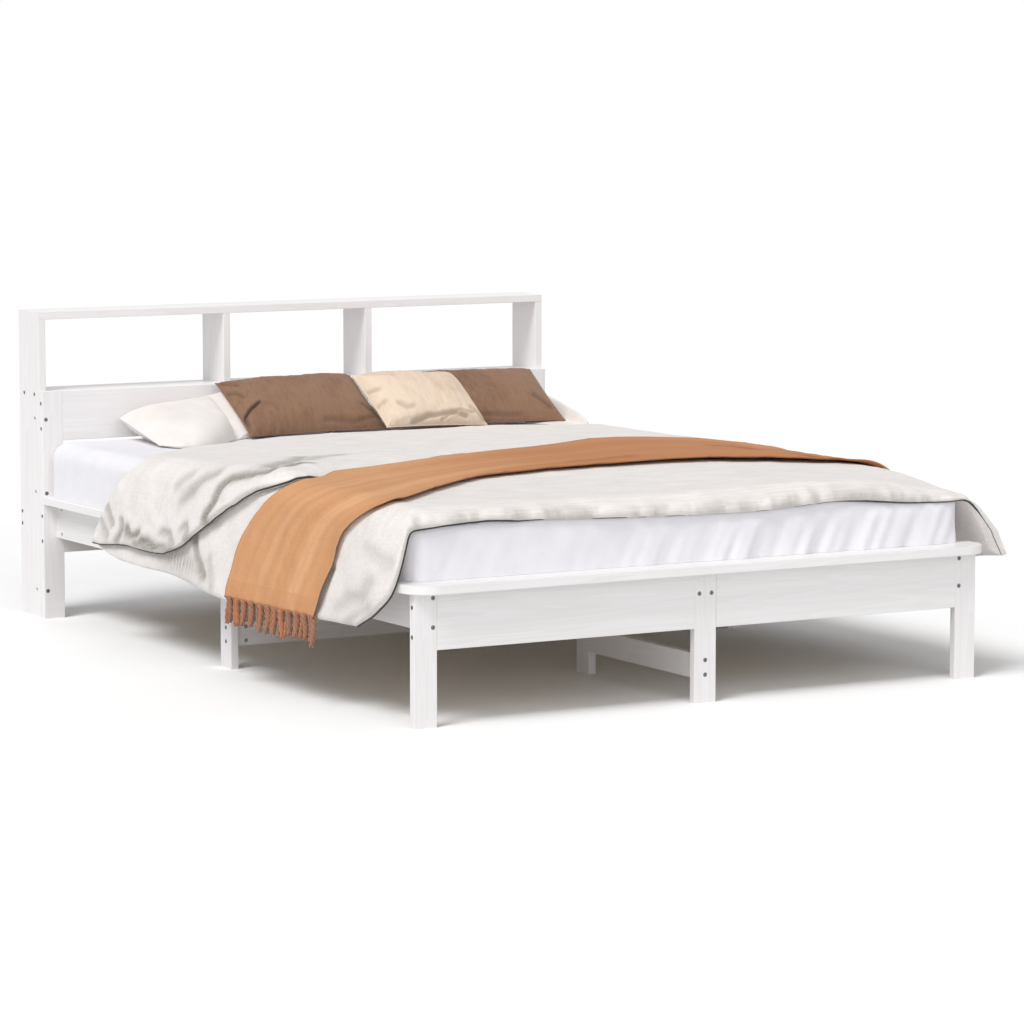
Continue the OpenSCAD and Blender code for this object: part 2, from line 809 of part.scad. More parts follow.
// How far the cloth stands out at the hem, folds included
function left_out(v) = hem_out + lookup(v, [[0, 22], [106, 34], [155, 10], [180, 26],
    [260, 6], [340, 16], [420, 4], [500, 14], [580, 4], [660, 12], [700, 6], [800, 34],
    [910, 8], [1020, 60], [1150, 14], [1290, 42], [1430, 12], [1540, 30]]);
function right_out(v) = hem_out + lookup(v, [[0, 90], [170, 60], [250, 24], [335, 40],
    [420, 6], [500, 14], [580, 4], [660, 16], [740, 4], [820, 14], [900, 6], [940, 34],
    [1020, 8], [1110, 34], [1200, 8], [1290, 34], [1400, 8], [1510, 30], [1600, 10]]);
// Shape of the bow across the bed
function bow(s) = lookup(s, [[0, 0], [0.14, 0.42], [0.28, 0.78], [0.42, 1], [0.58, 1],
    [0.72, 0.88], [0.86, 0.5], [1, 0]]);

function cloth_point(s, r, off) =
    let (w = rows[r], k = side_of(s), t = hang(s), f = over(s), g = w[2],
         top = max(0, min(1, s)), v = w[0] + (w[1] - w[0]) * top,
         drop = (k < 0 ? left_drop(v) : right_drop(v)),
         swing = (k < 0 ? left_swing(v) : right_swing(v)),
         out = (k < 0 ? left_out(v) : right_out(v)),
         x = f == 0 ? (2 * top - 1) * edge_x
                    : k * (edge_x + (edge_r + off) * sin(f)
                           + min(t * out, out_most - max(0, off - hem_t - soft_fit))),
         za = t > 0 ? -t * drop : (edge_r + off) * cos(f),
         turn = min(g, 90),
         past = g > 90 ? foot_hang[0] + (foot_hang[1] - foot_hang[0]) * top : 0,
         zr = (edge_r + off) * cos(turn) - past,
         y0 = g == 0 ? max(edge_y, place(v)) : edge_y - (edge_r + off) * sin(turn) - (g > 90 ? 3 : 0),
         y = y0 + t * swing + length_k * w[3] * bow(s))
    [x, y, edge_z + min(za, zr)];

// Duvet thickness: thin at the hems, full on top, doubled where it is turned down, and
// pressed flatter towards the head
function fill(c, r) =
    let (s = cols[c], t = hang(s), last = len(rows) - 1,
         rim = (c == 0 || c == len(cols) - 1 || r == 0 || r == last) ? 0
             : (r == 1 || r == last - 1 || t >= 0.75) ? 0.35 : t > 0 || over(s) > 0 ? 0.55 : 1,
         wave = 3 * sin(50 * c + 35 * r) + 2 * sin(80 * c - 60 * r),
         late = max(0, (r - turn_row) / (last - turn_row)),
         from = turn_row + ceil(4.4 * t),
         turned = r >= from && t < 1 ? (r == last ? 0.3 : t > 0 ? 0.6 : 1) : 0)
    hem_t + rim * (duvet_t - hem_t + (s > 0 && s < 1 && r > 4 ? wave : 0)) * (1 - 0.4 * late)
          + turned * turn_t * (1 - 0.4 * late);

module duvet() {
    m = len(cols);
    n = len(rows);
    outer = [for (r = [0 : n - 1], c = [0 : m - 1]) cloth_point(cols[c], r, soft_fit + fill(c, r))];
    inner = [for (r = [0 : n - 1], c = [0 : m - 1]) cloth_point(cols[c], r, soft_fit)];
    color("linen") polyhedron(points = concat(outer, inner),
        faces = shell_faces(m, n, [for (s = cols) s < 0.5]), convexity = 8);
}

// The throw follows the duvet's own columns and rows, one clearance above it

module throw() {
    m = len(cols);
    n = throw_last - throw_first + 1;
    lift = 2 * soft_fit;
    outer = [for (r = [throw_first : throw_last], c = [0 : m - 1])
        cloth_point(cols[c], r, lift + fill(c, r) + throw_t)];
    inner = [for (r = [throw_first : throw_last], c = [0 : m - 1])
        cloth_point(cols[c], r, lift + fill(c, r))];
    color("sandybrown") polyhedron(points = concat(outer, inner),
        faces = shell_faces(m, n, [for (s = cols) s < 0.5]), convexity = 8);
}

module throw_fringe() {
    span = throw_last - throw_first;
    color("chocolate") for (s = [-2, 3], i = [0 : tassel_count - 1]) {
        u = throw_first + span * (i + 0.5) / tassel_count;
        c = s < 0 ? 0 : len(cols) - 1;
        a = cloth_point(s, floor(u), 2 * soft_fit + fill(c, floor(u)) + throw_t / 2);
        b = cloth_point(s, ceil(u), 2 * soft_fit + fill(c, ceil(u)) + throw_t / 2);
        p = a + (b - a) * (u - floor(u));
        translate(p - [0, 0, 0.8 + tassel_l]) cylinder(d1 = 14, d2 = 7, h = tassel_l, $fn = 6);
    }
}

// Cushion: middle at the origin, lying in the XY plane, crown on both faces

steps = [-1, -0.86, -0.6, -0.3, 0, 0.3, 0.6, 0.86, 1];

function crown(u, v) = pow(max(0, (1 - u * u) * (1 - v * v)), 0.75);

module cushion(w, l, up, down) {
    n = len(steps);
    function at(u, v, z) = [w / 2 * u * (1 - 0.07 * (1 - v * v)),
                            l / 2 * v * (1 - 0.09 * (1 - u * u)), z];
    outer = [for (v = steps, u = steps) at(u, v, 1 + up * crown(u, v))];
    inner = [for (v = steps, u = steps) at(u, v, -1 - down * crown(u, v))];
    polyhedron(points = concat(outer, inner), faces = shell_faces(n, n, [for (u = steps) u < 0]),
               convexity = 6);
}

// Cushions lean on the pillows; their backs lie in one sloping plane

lean_y = y_head - 215;
lean_z = sheet_top + 6;

module leaning(x, up, forward, turn, roll) {
    translate([x * width_k, lean_y, lean_z]) rotate([lean_angle, 0, 0])
        translate([0, up, forward]) rotate([0, turn, 0]) rotate([0, 0, roll]) children();
}

module cushion_left() {
    color("saddlebrown") leaning(-66, cushion_h / 2 - 9, 8, 0, 1)
        cushion(cushion_w * width_k, cushion_h, 52, 8);
}

module cushion_center() {
    color("wheat") leaning(258, small_h / 2 - 60, 48, 2, 0.5)
        cushion(small_w * width_k, small_h, 50, 14);
}

module cushion_right() {
    color("saddlebrown") leaning(496, cushion_h / 2 - 9, 8, 0, -1)
        cushion((cushion_w - 12) * width_k, cushion_h, 40, 8);
}

// Pillow: plan and height given across it, pressed down behind the cushions.
// Each station is [place across, front edge and back edge from the head leg, crown,
// depth below the cushions' backs, or -1 where no cushion lies on it]

left_plan = [[-570, -300, -60, 0, -1], [-548, -345, -25, 14, -1], [-505, -362, -12, 42, -1],
    [-445, -350, -6, 62, -1], [-375, -300, -6, 72, -1], [-305, -222, -6, 78, 0],
    [-220, -186, -6, 108, 0], [-130, -186, -6, 104, 0], [-50, -186, -6, 84, 0],
    [-18, -180, -14, 50, 0], [-6, -170, -26, 0, 0]];
right_plan = [[-724, -280, -90, 0, -1], [-714, -318, -50, 18, -1], [-696, -340, -26, 30, 22],
    [-665, -300, -8, 50, 24], [-620, -240, -6, 68, 18], [-560, -190, -6, 102, 4],
    [-460, -186, -6, 108, 0], [-350, -186, -6, 104, 0], [-240, -186, -6, 84, 0],
    [-190, -180, -14, 50, 0], [-172, -170, -26, 0, 0]];

function slope_z(y) = lean_z + (y - lean_y) * tan(lean_angle) - 1.8;

module pillow(plan) {
    m = len(plan);
    n = len(steps);
    low = sheet_top + soft_fit;
    function spot(q, v) = y_head + q[1] + (q[2] - q[1]) * (v + 1) / 2;
    function high(q, v, y) = let (seam = low + 6 + 26 * (v + 1),
        z = seam + 1 + (q[3] * 0.72) * pow(max(0, 1 - pow(v, 4)), 0.6),
        cap = slope_z(y) - q[4]) q[4] < 0 ? z : max(low + 2, min(z, cap));
    function deep(q, v, y) = let (seam = low + 6 + 26 * (v + 1),
        z = max(low, seam - 1 - q[3] * pow(max(0, 1 - pow(v, 4)), 0.6)))
        q[4] < 0 ? z : max(low, min(z, high(q, v, y) - 3));
    outer = [for (v = steps, q = plan) let (y = spot(q, v)) [q[0] * width_k, y, high(q, v, y)]];
    inner = [for (v = steps, q = plan) let (y = spot(q, v)) [q[0] * width_k, y, deep(q, v, y)]];
    polyhedron(points = concat(outer, inner), faces = shell_faces(m, n, [for (q = plan) false]),
               convexity = 6);
}

module pillow_left() {
    color("whitesmoke") pillow(left_plan);
}

module pillow_right() {
    color("whitesmoke") mirror([1, 0, 0]) pillow(right_plan);
}

foot_leg_left();
foot_leg_right();
foot_leg_center();
foot_apron();
foot_ledge();
side_rail_left();
side_rail_right();
side_ledge_left();
side_ledge_right();
slat_ledger_left();
slat_ledger_right();
mid_leg_left();
mid_leg_right();
mid_leg_center();
cross_stretcher();
center_leg_front();
center_leg_rear();
center_stretcher_front();
center_stretcher_rear();
beam_flange();
beam_web();
slats();
slat_tapes();
head_leg_left();
head_leg_right();
head_leg_center();
head_side_left();
head_side_right();
head_top();
head_shelf();
head_divider_left();
head_divider_right();
head_panel();
head_lower_rail();
head_rear_rail();
joint_bolts();
barrel_nuts();
dowels();
mattress();
fitted_sheet();
duvet();
throw();
throw_fringe();
pillow_left();
pillow_right();
cushion_left();
cushion_center();
cushion_right();
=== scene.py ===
"""A white-painted pine bed with a shelf headboard, made up with a duvet and a throw."""

import json
import math

import bpy
import numpy as np
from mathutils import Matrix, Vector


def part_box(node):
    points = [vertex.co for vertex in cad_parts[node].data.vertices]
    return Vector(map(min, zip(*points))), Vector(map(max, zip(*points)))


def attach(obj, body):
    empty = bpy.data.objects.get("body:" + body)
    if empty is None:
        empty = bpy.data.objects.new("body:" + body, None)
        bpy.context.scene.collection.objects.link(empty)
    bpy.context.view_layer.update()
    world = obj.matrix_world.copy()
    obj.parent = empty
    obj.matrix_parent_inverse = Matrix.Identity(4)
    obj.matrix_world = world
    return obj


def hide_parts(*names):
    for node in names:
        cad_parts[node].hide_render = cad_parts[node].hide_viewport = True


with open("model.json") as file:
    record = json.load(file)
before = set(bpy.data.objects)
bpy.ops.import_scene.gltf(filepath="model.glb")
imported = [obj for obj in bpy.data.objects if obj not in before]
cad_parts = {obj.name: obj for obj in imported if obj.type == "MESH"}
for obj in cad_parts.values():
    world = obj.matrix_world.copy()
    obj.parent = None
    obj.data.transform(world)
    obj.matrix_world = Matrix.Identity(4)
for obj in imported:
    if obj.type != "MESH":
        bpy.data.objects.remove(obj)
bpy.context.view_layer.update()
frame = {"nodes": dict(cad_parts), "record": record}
scene = bpy.context.scene

# Colours, as sRGB values from 0 to 255
WHITE = (255, 255, 255)
PAINT = (240, 238, 239)
PAINT_GRAIN = (224, 219, 215)
PAINT_CLOUD = (233, 231, 232)
BARE_PINE = (214, 186, 146)
PINE_RING = (176, 134, 88)
PINE_PALE = (236, 216, 182)
SLAT_TAPE = (214, 210, 200)
TAPE_SHADE = (150, 146, 136)
STEEL = (150, 150, 154)
NUT_STEEL = (170, 172, 174)
STEEL_MARKS = (40, 38, 36)
MATTRESS_COVER = (232, 230, 224)
MATTRESS_SHADE = (200, 198, 190)
SHEET_WHITE = (235, 233, 237)
SHEET_SHADE = (227, 226, 232)
DUVET_CREAM = (234, 229, 226)
DUVET_SHADE = (214, 208, 203)
# Painted shade in the duvet's folds, creases and hem gathers
DUVET_FOLD_SHADE = (112, 105, 92)
# A dark cord under the duvet's hems, as piping and as a painted shadow line
HEM_SHADOW_CORD = (62, 60, 54)
HEM_CORD_TWIST = (30, 28, 26)
THROW_ORANGE = (208, 154, 111)
THROW_PALE = (236, 186, 142)
THROW_DARK = (200, 143, 98)
# Painted shade on the throw's top and right, and painted shadow in its deepest fold
THROW_SHADED = (172, 110, 66)
THROW_SHADOW = (84, 44, 30)
FRINGE_BROWN = (148, 114, 98)
FRINGE_ORANGE = (176, 126, 90)
YARN_DARK = (110, 84, 72)
YARN_PALE = (226, 190, 164)
PILLOW_IVORY = (236, 230, 227)
PILLOW_SHADE = (226, 218, 212)
CUSHION_BROWN = (134, 101, 78)
BROWN_SHADE = (70, 48, 36)
CUSHION_BEIGE = (223, 203, 182)
BEIGE_SHADE = (196, 160, 124)
# Painted shade in the cushions' creases
CREASE_SHADE = (30, 18, 12)
FLOOR_GREY = (232, 232, 232)
FLOOR_WHITE = (252, 252, 252)

# Bed sizes in metres, read from the frame
FOOT_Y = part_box("foot_leg_left")[0][1]
HEAD_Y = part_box("head_leg_left")[0][1]
SHEET_LOW, SHEET_HIGH = np.array(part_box("fitted_sheet"))
SHEET_TOP = SHEET_HIGH[2]
# Radius of the upper edges of the mattress and of the sheet, and where the round begins
MATTRESS_R = 0.042
EDGE_R = 0.0443
EDGE_X = SHEET_HIGH[0] - EDGE_R
EDGE_Y = SHEET_LOW[1] + EDGE_R
EDGE_V = EDGE_Y - FOOT_Y
EDGE_Z = SHEET_TOP - EDGE_R

# Unrolled length of cloth over a mattress edge, and its radius over the foot edge
ARC = 0.095
FOOT_ROLL = EDGE_R + 0.012
# Hang at which the flare of the cloth is given
FULL_HANG = 0.24
# Radius of the duvet's hems, and the thinnest that its layers get
HEM_R = 0.02
THINNEST = 0.004
# Thickness of each layer of the duvet, and how far the lower one lies above the sheet
LAYER_T = 0.019
LIFT = 0.0008
# Distance from one pleat to the next where the duvet's side is gathered
PLEAT_STEP = 0.019
# Width of the cloth that a crease puffs up, as a multiple of the crease's own
PUFF_WIDTH = 3.2
# Thickness of the throw, its gap where it lies flat, and the tassels at each end of it
THROW_T = 0.003
THROW_GAP = 0.0025
TASSELS = 24
# Strands of a tassel, rings of points along a strand, and points in a ring
STRANDS = 3
RINGS = 13
SIDES = 6
# Slope that the cushions lean on, and its foot
LEAN = math.radians(32)
LEAN_Y = HEAD_Y - 0.215
LEAN_Z = SHEET_TOP + 0.006


# Numbers


def curve(table, x):
    """Smooth curve through a table of pairs, level beyond its ends."""
    xs, ys = np.array(table, float).T
    if len(xs) < 3:
        return np.interp(x, xs, ys)
    slope = np.gradient(ys, xs)
    x = np.clip(x, xs[0], xs[-1])
    i = np.clip(np.searchsorted(xs, x, side="right") - 1, 0, len(xs) - 2)
    step = xs[i + 1] - xs[i]
    t = (x - xs[i]) / step
    a = ys[i] * (2 * t**3 - 3 * t**2 + 1) + slope[i] * step * (t**3 - 2 * t**2 + t)
    return a + ys[i + 1] * (3 * t**2 - 2 * t**3) + slope[i + 1] * step * (t**3 - t**2)


def ease(x):
    x = np.clip(x, 0, 1)
    return x * x * (3 - 2 * x)


def value_noise(x, y, seed):
    """Smooth noise from -1 to 1 on a unit grid."""
    grid = np.random.default_rng(seed).uniform(-1, 1, (64, 64))
    i, j = np.floor(x).astype(int), np.floor(y).astype(int)
    fx, fy = ease(x - i), ease(y - j)
    i, j, k, m = i % 64, j % 64, (i + 1) % 64, (j + 1) % 64
    low = grid[i, j] * (1 - fx) + grid[k, j] * fx
    high = grid[i, m] * (1 - fx) + grid[k, m] * fx
    return low * (1 - fy) + high * fy


def layered(x, y, seed, octaves=4, gain=0.5):
    """Noise in octaves, each half the size of the last."""
    total, weight = 0, 1
    for k in range(octaves):
        total = total + weight * value_noise(x * 2**k + 3.1 * k, y * 2**k - 1.7 * k, seed + k)
        weight *= gain
    return total


def ridges(x, y, seed, octaves=3):
    """Thin raised lines from 0 to 1, bent by a second noise."""
    bend = layered(x * 0.5, y * 0.5, seed + 40, 2)
    n = layered(x + bend, y - bend, seed, octaves)
    return np.clip(1 - np.abs(n) * 2.2, 0, 1) ** 2


def crease(x, y, points, width):
    """A ridge of height 1 along a line of points."""
    best = np.full(np.shape(x), 9.0)
    for (x0, y0), (x1, y1) in zip(points, points[1:]):
        dx, dy = x1 - x0, y1 - y0
        t = np.clip(((x - x0) * dx + (y - y0) * dy) / (dx * dx + dy * dy), 0, 1)
        best = np.minimum(best, np.hypot(x - x0 - t * dx, y - y0 - t * dy))
    return np.exp(-((best / width) ** 2))


def spaced(count, rim=0.0, length=1.0):
    """count places from 0 to 1, closer together near both ends where a rim is rounded."""
    inner = np.linspace(rim / length, 1 - rim / length, count)
    if rim == 0:
        return inner
    ends = rim / length * (1 - np.cos(np.linspace(0, math.pi / 2, 5)))[:-1]
    return np.concatenate([ends, inner, 1 - ends[::-1]])


# Meshes


def placed(name, data):
    """An object of the scene."""
    obj = bpy.data.objects.new(name, data)
    scene.collection.objects.link(obj)
    return obj


def new_object(name, vertices, faces, smooth=True):
    mesh = bpy.data.meshes.new(name)
    mesh.from_pydata(np.asarray(vertices).tolist(), [], faces)
    mesh.validate()
    if smooth:
        mesh.polygons.foreach_set("use_smooth", [True] * len(mesh.polygons))
    return placed(name, mesh)


def grid_faces(index):
    a, b = index[:-1, :-1], index[:-1, 1:]
    c, d = index[1:, 1:], index[1:, :-1]
    return np.stack([a, b, c, d], -1).reshape(-1, 4).tolist()


def ring_faces(first, count, sides, closed=False):
    """Faces of a tube through rings of points, its ends shut unless it is closed."""
    rings = first + np.arange(count * sides).reshape(count, sides)
    rings = np.hstack([rings, rings[:, :1]])
    if closed:
        rings = np.vstack([rings, rings[:1]])
    faces = [[a, d, c, b] for a, b, c, d in grid_faces(rings)]
    if not closed:
        faces += [rings[0, :-1].tolist(), rings[-1, -2::-1].tolist()]
    return faces


def shell(name, top, bottom):
    """Closed piece between two grids of points whose rims are the same."""
    rows, cols = top.shape[:2]
    upper = np.arange(rows * cols).reshape(rows, cols)
    lower = upper.copy()
    lower[1:-1, 1:-1] = rows * cols + np.arange((rows - 2) * (cols - 2)).reshape(rows - 2, -1)
    points = np.concatenate([top.reshape(-1, 3), bottom[1:-1, 1:-1].reshape(-1, 3)])
    faces = grid_faces(upper) + [f[::-1] for f in grid_faces(lower)]
    return new_object(name, points, faces)


def tube(name, path, radius, closed=False, sides=8):
    """Round cord along a path of points."""
    ahead = np.roll(path, -1, 0) - np.roll(path, 1, 0)
    if not closed:
        ahead[0], ahead[-1] = path[1] - path[0], path[-1] - path[-2]
    ahead /= np.linalg.norm(ahead, axis=1, keepdims=True)
    side = np.cross(ahead, [0, 0, 1.0])
    side /= np.maximum(np.linalg.norm(side, axis=1, keepdims=True), 1e-6)
    upward = np.cross(side, ahead)
    angle = np.linspace(0, 2 * math.pi, sides, endpoint=False)[:, None]
    ring = side[:, None] * np.cos(angle) + upward[:, None] * np.sin(angle)
    points = (path[:, None] + np.reshape(radius, (-1, 1, 1)) * ring).reshape(-1, 3)
    return new_object(name, points, ring_faces(0, len(path), sides, closed))


def dress(obj, material, slot, *nodes):
    """Material, body and CAD nodes of a bedding piece; its slot is not used."""
    obj.data.materials.clear()
    obj.data.materials.append(material)
    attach(obj, "bedding")
    if nodes:
        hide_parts(*nodes)
    return obj


def store(obj, name, values):
    """Gives each point of a mesh a value that its material reads."""
    layer = obj.data.attributes.new(name, "FLOAT", "POINT")
    layer.data.foreach_set("value", values)


def store_grid(obj, name, grid):
    """The same for a shell, from the grid of its upper face."""
    store(obj, name, np.concatenate([grid.reshape(-1), grid[1:-1, 1:-1].reshape(-1)]))


# Materials

# Threads a metre in one step of a wave texture's scale
THREADS_A_WAVE = 6.283


def rgb(colour):
    """sRGB from 0 to 255 as the linear colour that a node takes."""
    def line(c):
        return c / 12.92 if c <= 0.04045 else ((c + 0.055) / 1.055) ** 2.4
    return tuple(line(c / 255) for c in colour) + (1.0,)


def mixed(a, b, t):
    return tuple(x + (y - x) * t for x, y in zip(a, b))


def tuned(node, **values):
    """A node with its settings and its sockets' values, by their names."""
    for key, value in values.items():
        if hasattr(node, key):
            setattr(node, key, value)
        else:
            node.inputs[key.replace("_", " ")].default_value = value
    return node


class Nodes:
    """The nodes of a material or of the world, made one after another."""

    def __init__(self, tree):
        self.tree = tree

    def node(self, kind, **values):
        return tuned(self.tree.nodes.new("ShaderNode" + kind), **values)

    def join(self, out, into):
        self.tree.links.new(out, into)

    def fed(self, made, out, *values):
        """An output of a node whose sockets get these values or outputs in turn."""
        for socket, value in zip(made.inputs, values):
            if isinstance(value, (int, float, tuple)):
                socket.default_value = value
            else:
                self.join(value, socket)
        return made.outputs[out]

    def math(self, kind, a, b):
        return self.fed(self.node("Math", operation=kind), "Value", a, b)

    def times(self, a, b):
        return self.math("MULTIPLY", a, b)

    def share(self, t, a, b):
        """Sum of a in the share t and b in the rest."""
        return self.math("ADD", self.times(a, t), self.times(b, 1 - t))

    def looked_at(self):
        """1 for what is seen itself, in a mirror or through glass, 0 for light thrown on."""
        path = self.node("LightPath").outputs
        straight = self.math("MAXIMUM", path["Is Camera Ray"], path["Is Glossy Ray"])
        return self.math("MAXIMUM", straight, path["Is Transmission Ray"])


class Maker(Nodes):
    """A material and its nodes."""

    def __init__(self, name, roughness, **sockets):
        self.material = bpy.data.materials.new(name)
        self.material.use_nodes = True
        super().__init__(self.material.node_tree)
        shader = self.tree.nodes["Principled BSDF"]
        self.shader = tuned(shader, Roughness=roughness, **sockets)

    def coords(self, scale=(1, 1, 1)):
        place = self.node("TexCoord")
        turn = self.node("Mapping", Scale=scale)
        self.join(place.outputs["Object"], turn.inputs["Vector"])
        return turn.outputs["Vector"]

    def attribute(self, name):
        """The value stored with each point of the mesh."""
        return self.node("Attribute", attribute_name=name).outputs["Fac"]

    def noise(self, vector, scale, detail=3, roughness=0.5, distortion=0.0):
        made = self.node("TexNoise", Scale=scale, Detail=detail, Roughness=roughness,
                         Distortion=distortion)
        return self.fed(made, "Fac", vector)

    def weave(self, threads):
        """Height of a plain weave with that many threads a metre."""
        place = self.coords()
        warp, weft, rise = (
            self.fed(self.node("TexWave", Scale=threads / THREADS_A_WAVE,
                               bands_direction=axis), "Fac", place) for axis in "XYZ")
        return self.math("ADD", self.math("ADD", warp, weft), rise)

    def ramp(self, fac, stops):
        made = self.node("ValToRGB")
        self.join(fac, made.inputs["Fac"])
        ramp = made.color_ramp
        while len(ramp.elements) < len(stops):
            ramp.elements.new(0.5)
        for element, (place, colour) in zip(ramp.elements, stops):
            element.position = place
            element.color = rgb(colour)
        return made.outputs["Color"]

    def blend(self, fac, a, b, kind="MIX"):
        return self.fed(self.node("MixRGB", blend_type=kind), "Color", fac, a, b)

    def colour(self, out):
        self.join(out, self.shader.inputs["Base Color"])

    def stained(self, fac, colour, dark, share):
        """That colour, with a share of the dark one where fac is low."""
        self.colour(self.ramp(fac, [(0.3, mixed(colour, dark, share)), (0.7, colour)]))

    def rough(self, fac, low, high):
        made = self.node("MapRange", To_Min=low, To_Max=high)
        self.join(self.fed(made, "Result", fac), self.shader.inputs["Roughness"])

    def finished(self, *layers):
        """The material with its bump, in layers of height, strength and distance."""
        last = None
        for height, strength, distance in layers:
            made = self.node("Bump", Strength=strength, Distance=distance)
            self.join(height, made.inputs["Height"])
            if last:
                self.join(last, made.inputs["Normal"])
            last = made.outputs["Normal"]
        self.join(last, self.shader.inputs["Normal"])
        return self.material


def along(axis, long, across):
    """Texture scale that stretches a pattern along one axis."""
    return tuple(long if i == axis else across for i in range(3))


def painted_pine(axis):
    """White paint through which the pine's grain just shows, along the board."""
    m = Maker(f"painted_pine_{'xyz'[axis]}", 0.42, Coat_Weight=0.12, Coat_Roughness=0.3)
    fibre = m.noise(m.coords(along(axis, 3, 150)), 1.0, 4, 0.6)
    figure = m.noise(m.coords(along(axis, 0.9, 16)), 1.0, 3, 0.55, 0.8)
    rings = m.math("FRACT", m.times(figure, 9.0), 0.0)
    cloud = m.noise(m.coords(), 2.5, 2)
    tone = m.share(0.35, rings, fibre)
    base = m.ramp(tone, [(0.15, mixed(PAINT, PAINT_GRAIN, 0.75)), (0.75, PAINT)])
    m.colour(m.blend(0.35, base, m.ramp(cloud, [(0.3, PAINT_CLOUD), (0.7, PAINT)])))
    m.rough(fibre, 0.36, 0.5)
    return m.finished((figure, 0.12, 0.002), (fibre, 0.22, 0.0006))


def bare_pine(axis):
    """Pine with its growth rings along the board."""
    m = Maker(f"bare_pine_{'xyz'[axis]}", 0.62)
    fibre = m.noise(m.coords(along(axis, 4, 190)), 1.0, 4, 0.6)
    figure = m.noise(m.coords(along(axis, 0.8, 14)), 1.0, 2, 0.5, 0.6)
    rings = m.math("FRACT", m.times(figure, 10.0), 0.0)
    m.colour(m.ramp(m.share(0.55, rings, fibre), [
        (0.2, mixed(BARE_PINE, PINE_RING, 0.55)), (0.55, BARE_PINE),
        (0.85, mixed(BARE_PINE, PINE_PALE, 0.7))]))
    return m.finished((rings, 0.15, 0.0008), (fibre, 0.3, 0.0005))


def metal(name, colour, roughness):
    """Dull plated steel with faint marks."""
    m = Maker(name, roughness, Metallic=1.0)
    marks = m.noise(m.coords(), 300.0, 4, 0.65)
    m.stained(marks, colour, STEEL_MARKS, 0.35)
    m.rough(marks, roughness - 0.08, roughness + 0.14)
    return m.finished((marks, 0.2, 0.0003))


def cotton(name, colour, shade, threads, slub):
    """Plain woven cotton with slubs of that scale and soft mottling."""
    m = Maker(name, 0.85, Sheen_Weight=0.25, Sheen_Roughness=0.6)
    slubs = m.noise(m.coords((slub, slub, slub)), 0.35, 3, 0.6)
    mottle = m.noise(m.coords(), 9.0, 4, 0.6)
    weave = m.weave(threads)
    m.colour(m.ramp(m.share(0.6, slubs, mottle), [(0.3, shade), (0.62, colour)]))
    return m.finished((weave, 0.12, 0.0003), (slubs, 0.35, 0.0008))


def duvet_material():
    """Slubbed cotton and linen, with painted shade down in its folds and along its hems."""
    m = Maker("duvet_cotton", 0.88, Sheen_Weight=0.2, Sheen_Roughness=0.6)
    slubs = m.noise(m.coords((30, 620, 620)), 0.35, 3, 0.62)
    mottle = m.noise(m.coords(), 12.0, 4, 0.62)
    weave = m.weave(1300)
    fold_shade_noise = m.noise(m.coords(), 190.0, 3, 0.7)
    base = m.ramp(m.share(0.65, slubs, mottle), [(0.30, DUVET_SHADE), (0.60, DUVET_CREAM)])
    # Painted shade in the folds, creases and hems, broken up by fine noise
    fold_shade_spread = m.math("ADD", m.times(fold_shade_noise, 0.9), 0.45)
    deep = m.times(m.attribute("fold"), fold_shade_spread)
    m.colour(m.blend(deep, base, rgb(DUVET_FOLD_SHADE)))
    return m.finished((mottle, 0.25, 0.004), (slubs, 0.45, 0.0009), (weave, 0.12, 0.0003))


def tape_material():
    """Woven cotton tape."""
    m = Maker("slat_tape", 0.75)
    mottle = m.noise(m.coords(), 30.0, 3)
    m.stained(mottle, SLAT_TAPE, TAPE_SHADE, 0.3)
    return m.finished((m.weave(1500), 0.4, 0.0004))


def knit_material():
    """Knitted mattress cover with small padded cells."""
    m = Maker("mattress_knit", 0.9, Sheen_Weight=0.2)
    place = m.coords()
    cells = m.fed(m.node("TexVoronoi", Scale=24.0), "Distance", place)
    mottle = m.noise(place, 14.0, 3)
    m.stained(mottle, MATTRESS_COVER, MATTRESS_SHADE, 0.4)
    return m.finished((cells, 0.5, 0.003), (m.weave(1800), 0.2, 0.0003))


def throw_material():
    """Woven wool in soft bands that run the throw's length, as its folds do, with painted shade
    on its top and right and in its folds.
    """
    m = Maker("throw_wool", 0.9, Sheen_Weight=0.06, Sheen_Roughness=0.5,
              Specular_IOR_Level=0.15)
    length, nap = m.attribute("length"), m.attribute("nap")
    pair = m.fed(m.node("CombineXYZ"), "Vector", m.attribute("across"),
                 m.times(length, 0.12))
    bands = m.noise(pair, 5.5, 2, 0.5)
    fuzz = m.noise(m.coords(), 160.0, 3, 0.7)
    base = m.ramp(m.share(0.8, bands, fuzz), [
        (0.36, THROW_DARK), (0.5, THROW_ORANGE), (0.66, mixed(THROW_ORANGE, THROW_PALE, 0.6))])
    # Painted shade on the throw's top and right, and a painted shadow in its deepest fold
    base = m.blend(m.times(nap, 0.8), base, rgb(THROW_SHADED))
    deepest = m.math("MAXIMUM", m.math("SUBTRACT", nap, 0.9), 0.0)
    base = m.blend(m.times(deepest, 1.1), base, rgb(THROW_SHADOW))
    hem = m.math("LESS_THAN", length, 0.022)
    m.colour(m.blend(m.times(hem, 0.45), base, rgb(THROW_DARK)))
    return m.finished((bands, 0.2, 0.003), (m.weave(900), 0.35, 0.0006), (fuzz, 0.25, 0.0006))


def yarn_material():
    """Fringe yarn, each tassel in its own tint."""
    m = Maker("fringe_yarn", 0.9, Sheen_Weight=0.4)
    twist = m.noise(m.coords((1, 1, 0.4)), 420.0, 3, 0.7)
    base = m.blend(m.attribute("tint"), rgb(FRINGE_BROWN), rgb(FRINGE_ORANGE))
    m.colour(m.blend(0.6, base, m.ramp(twist, [(0.3, YARN_DARK), (0.7, YARN_PALE)]),
                     "SOFT_LIGHT"))
    return m.finished((twist, 0.6, 0.001))


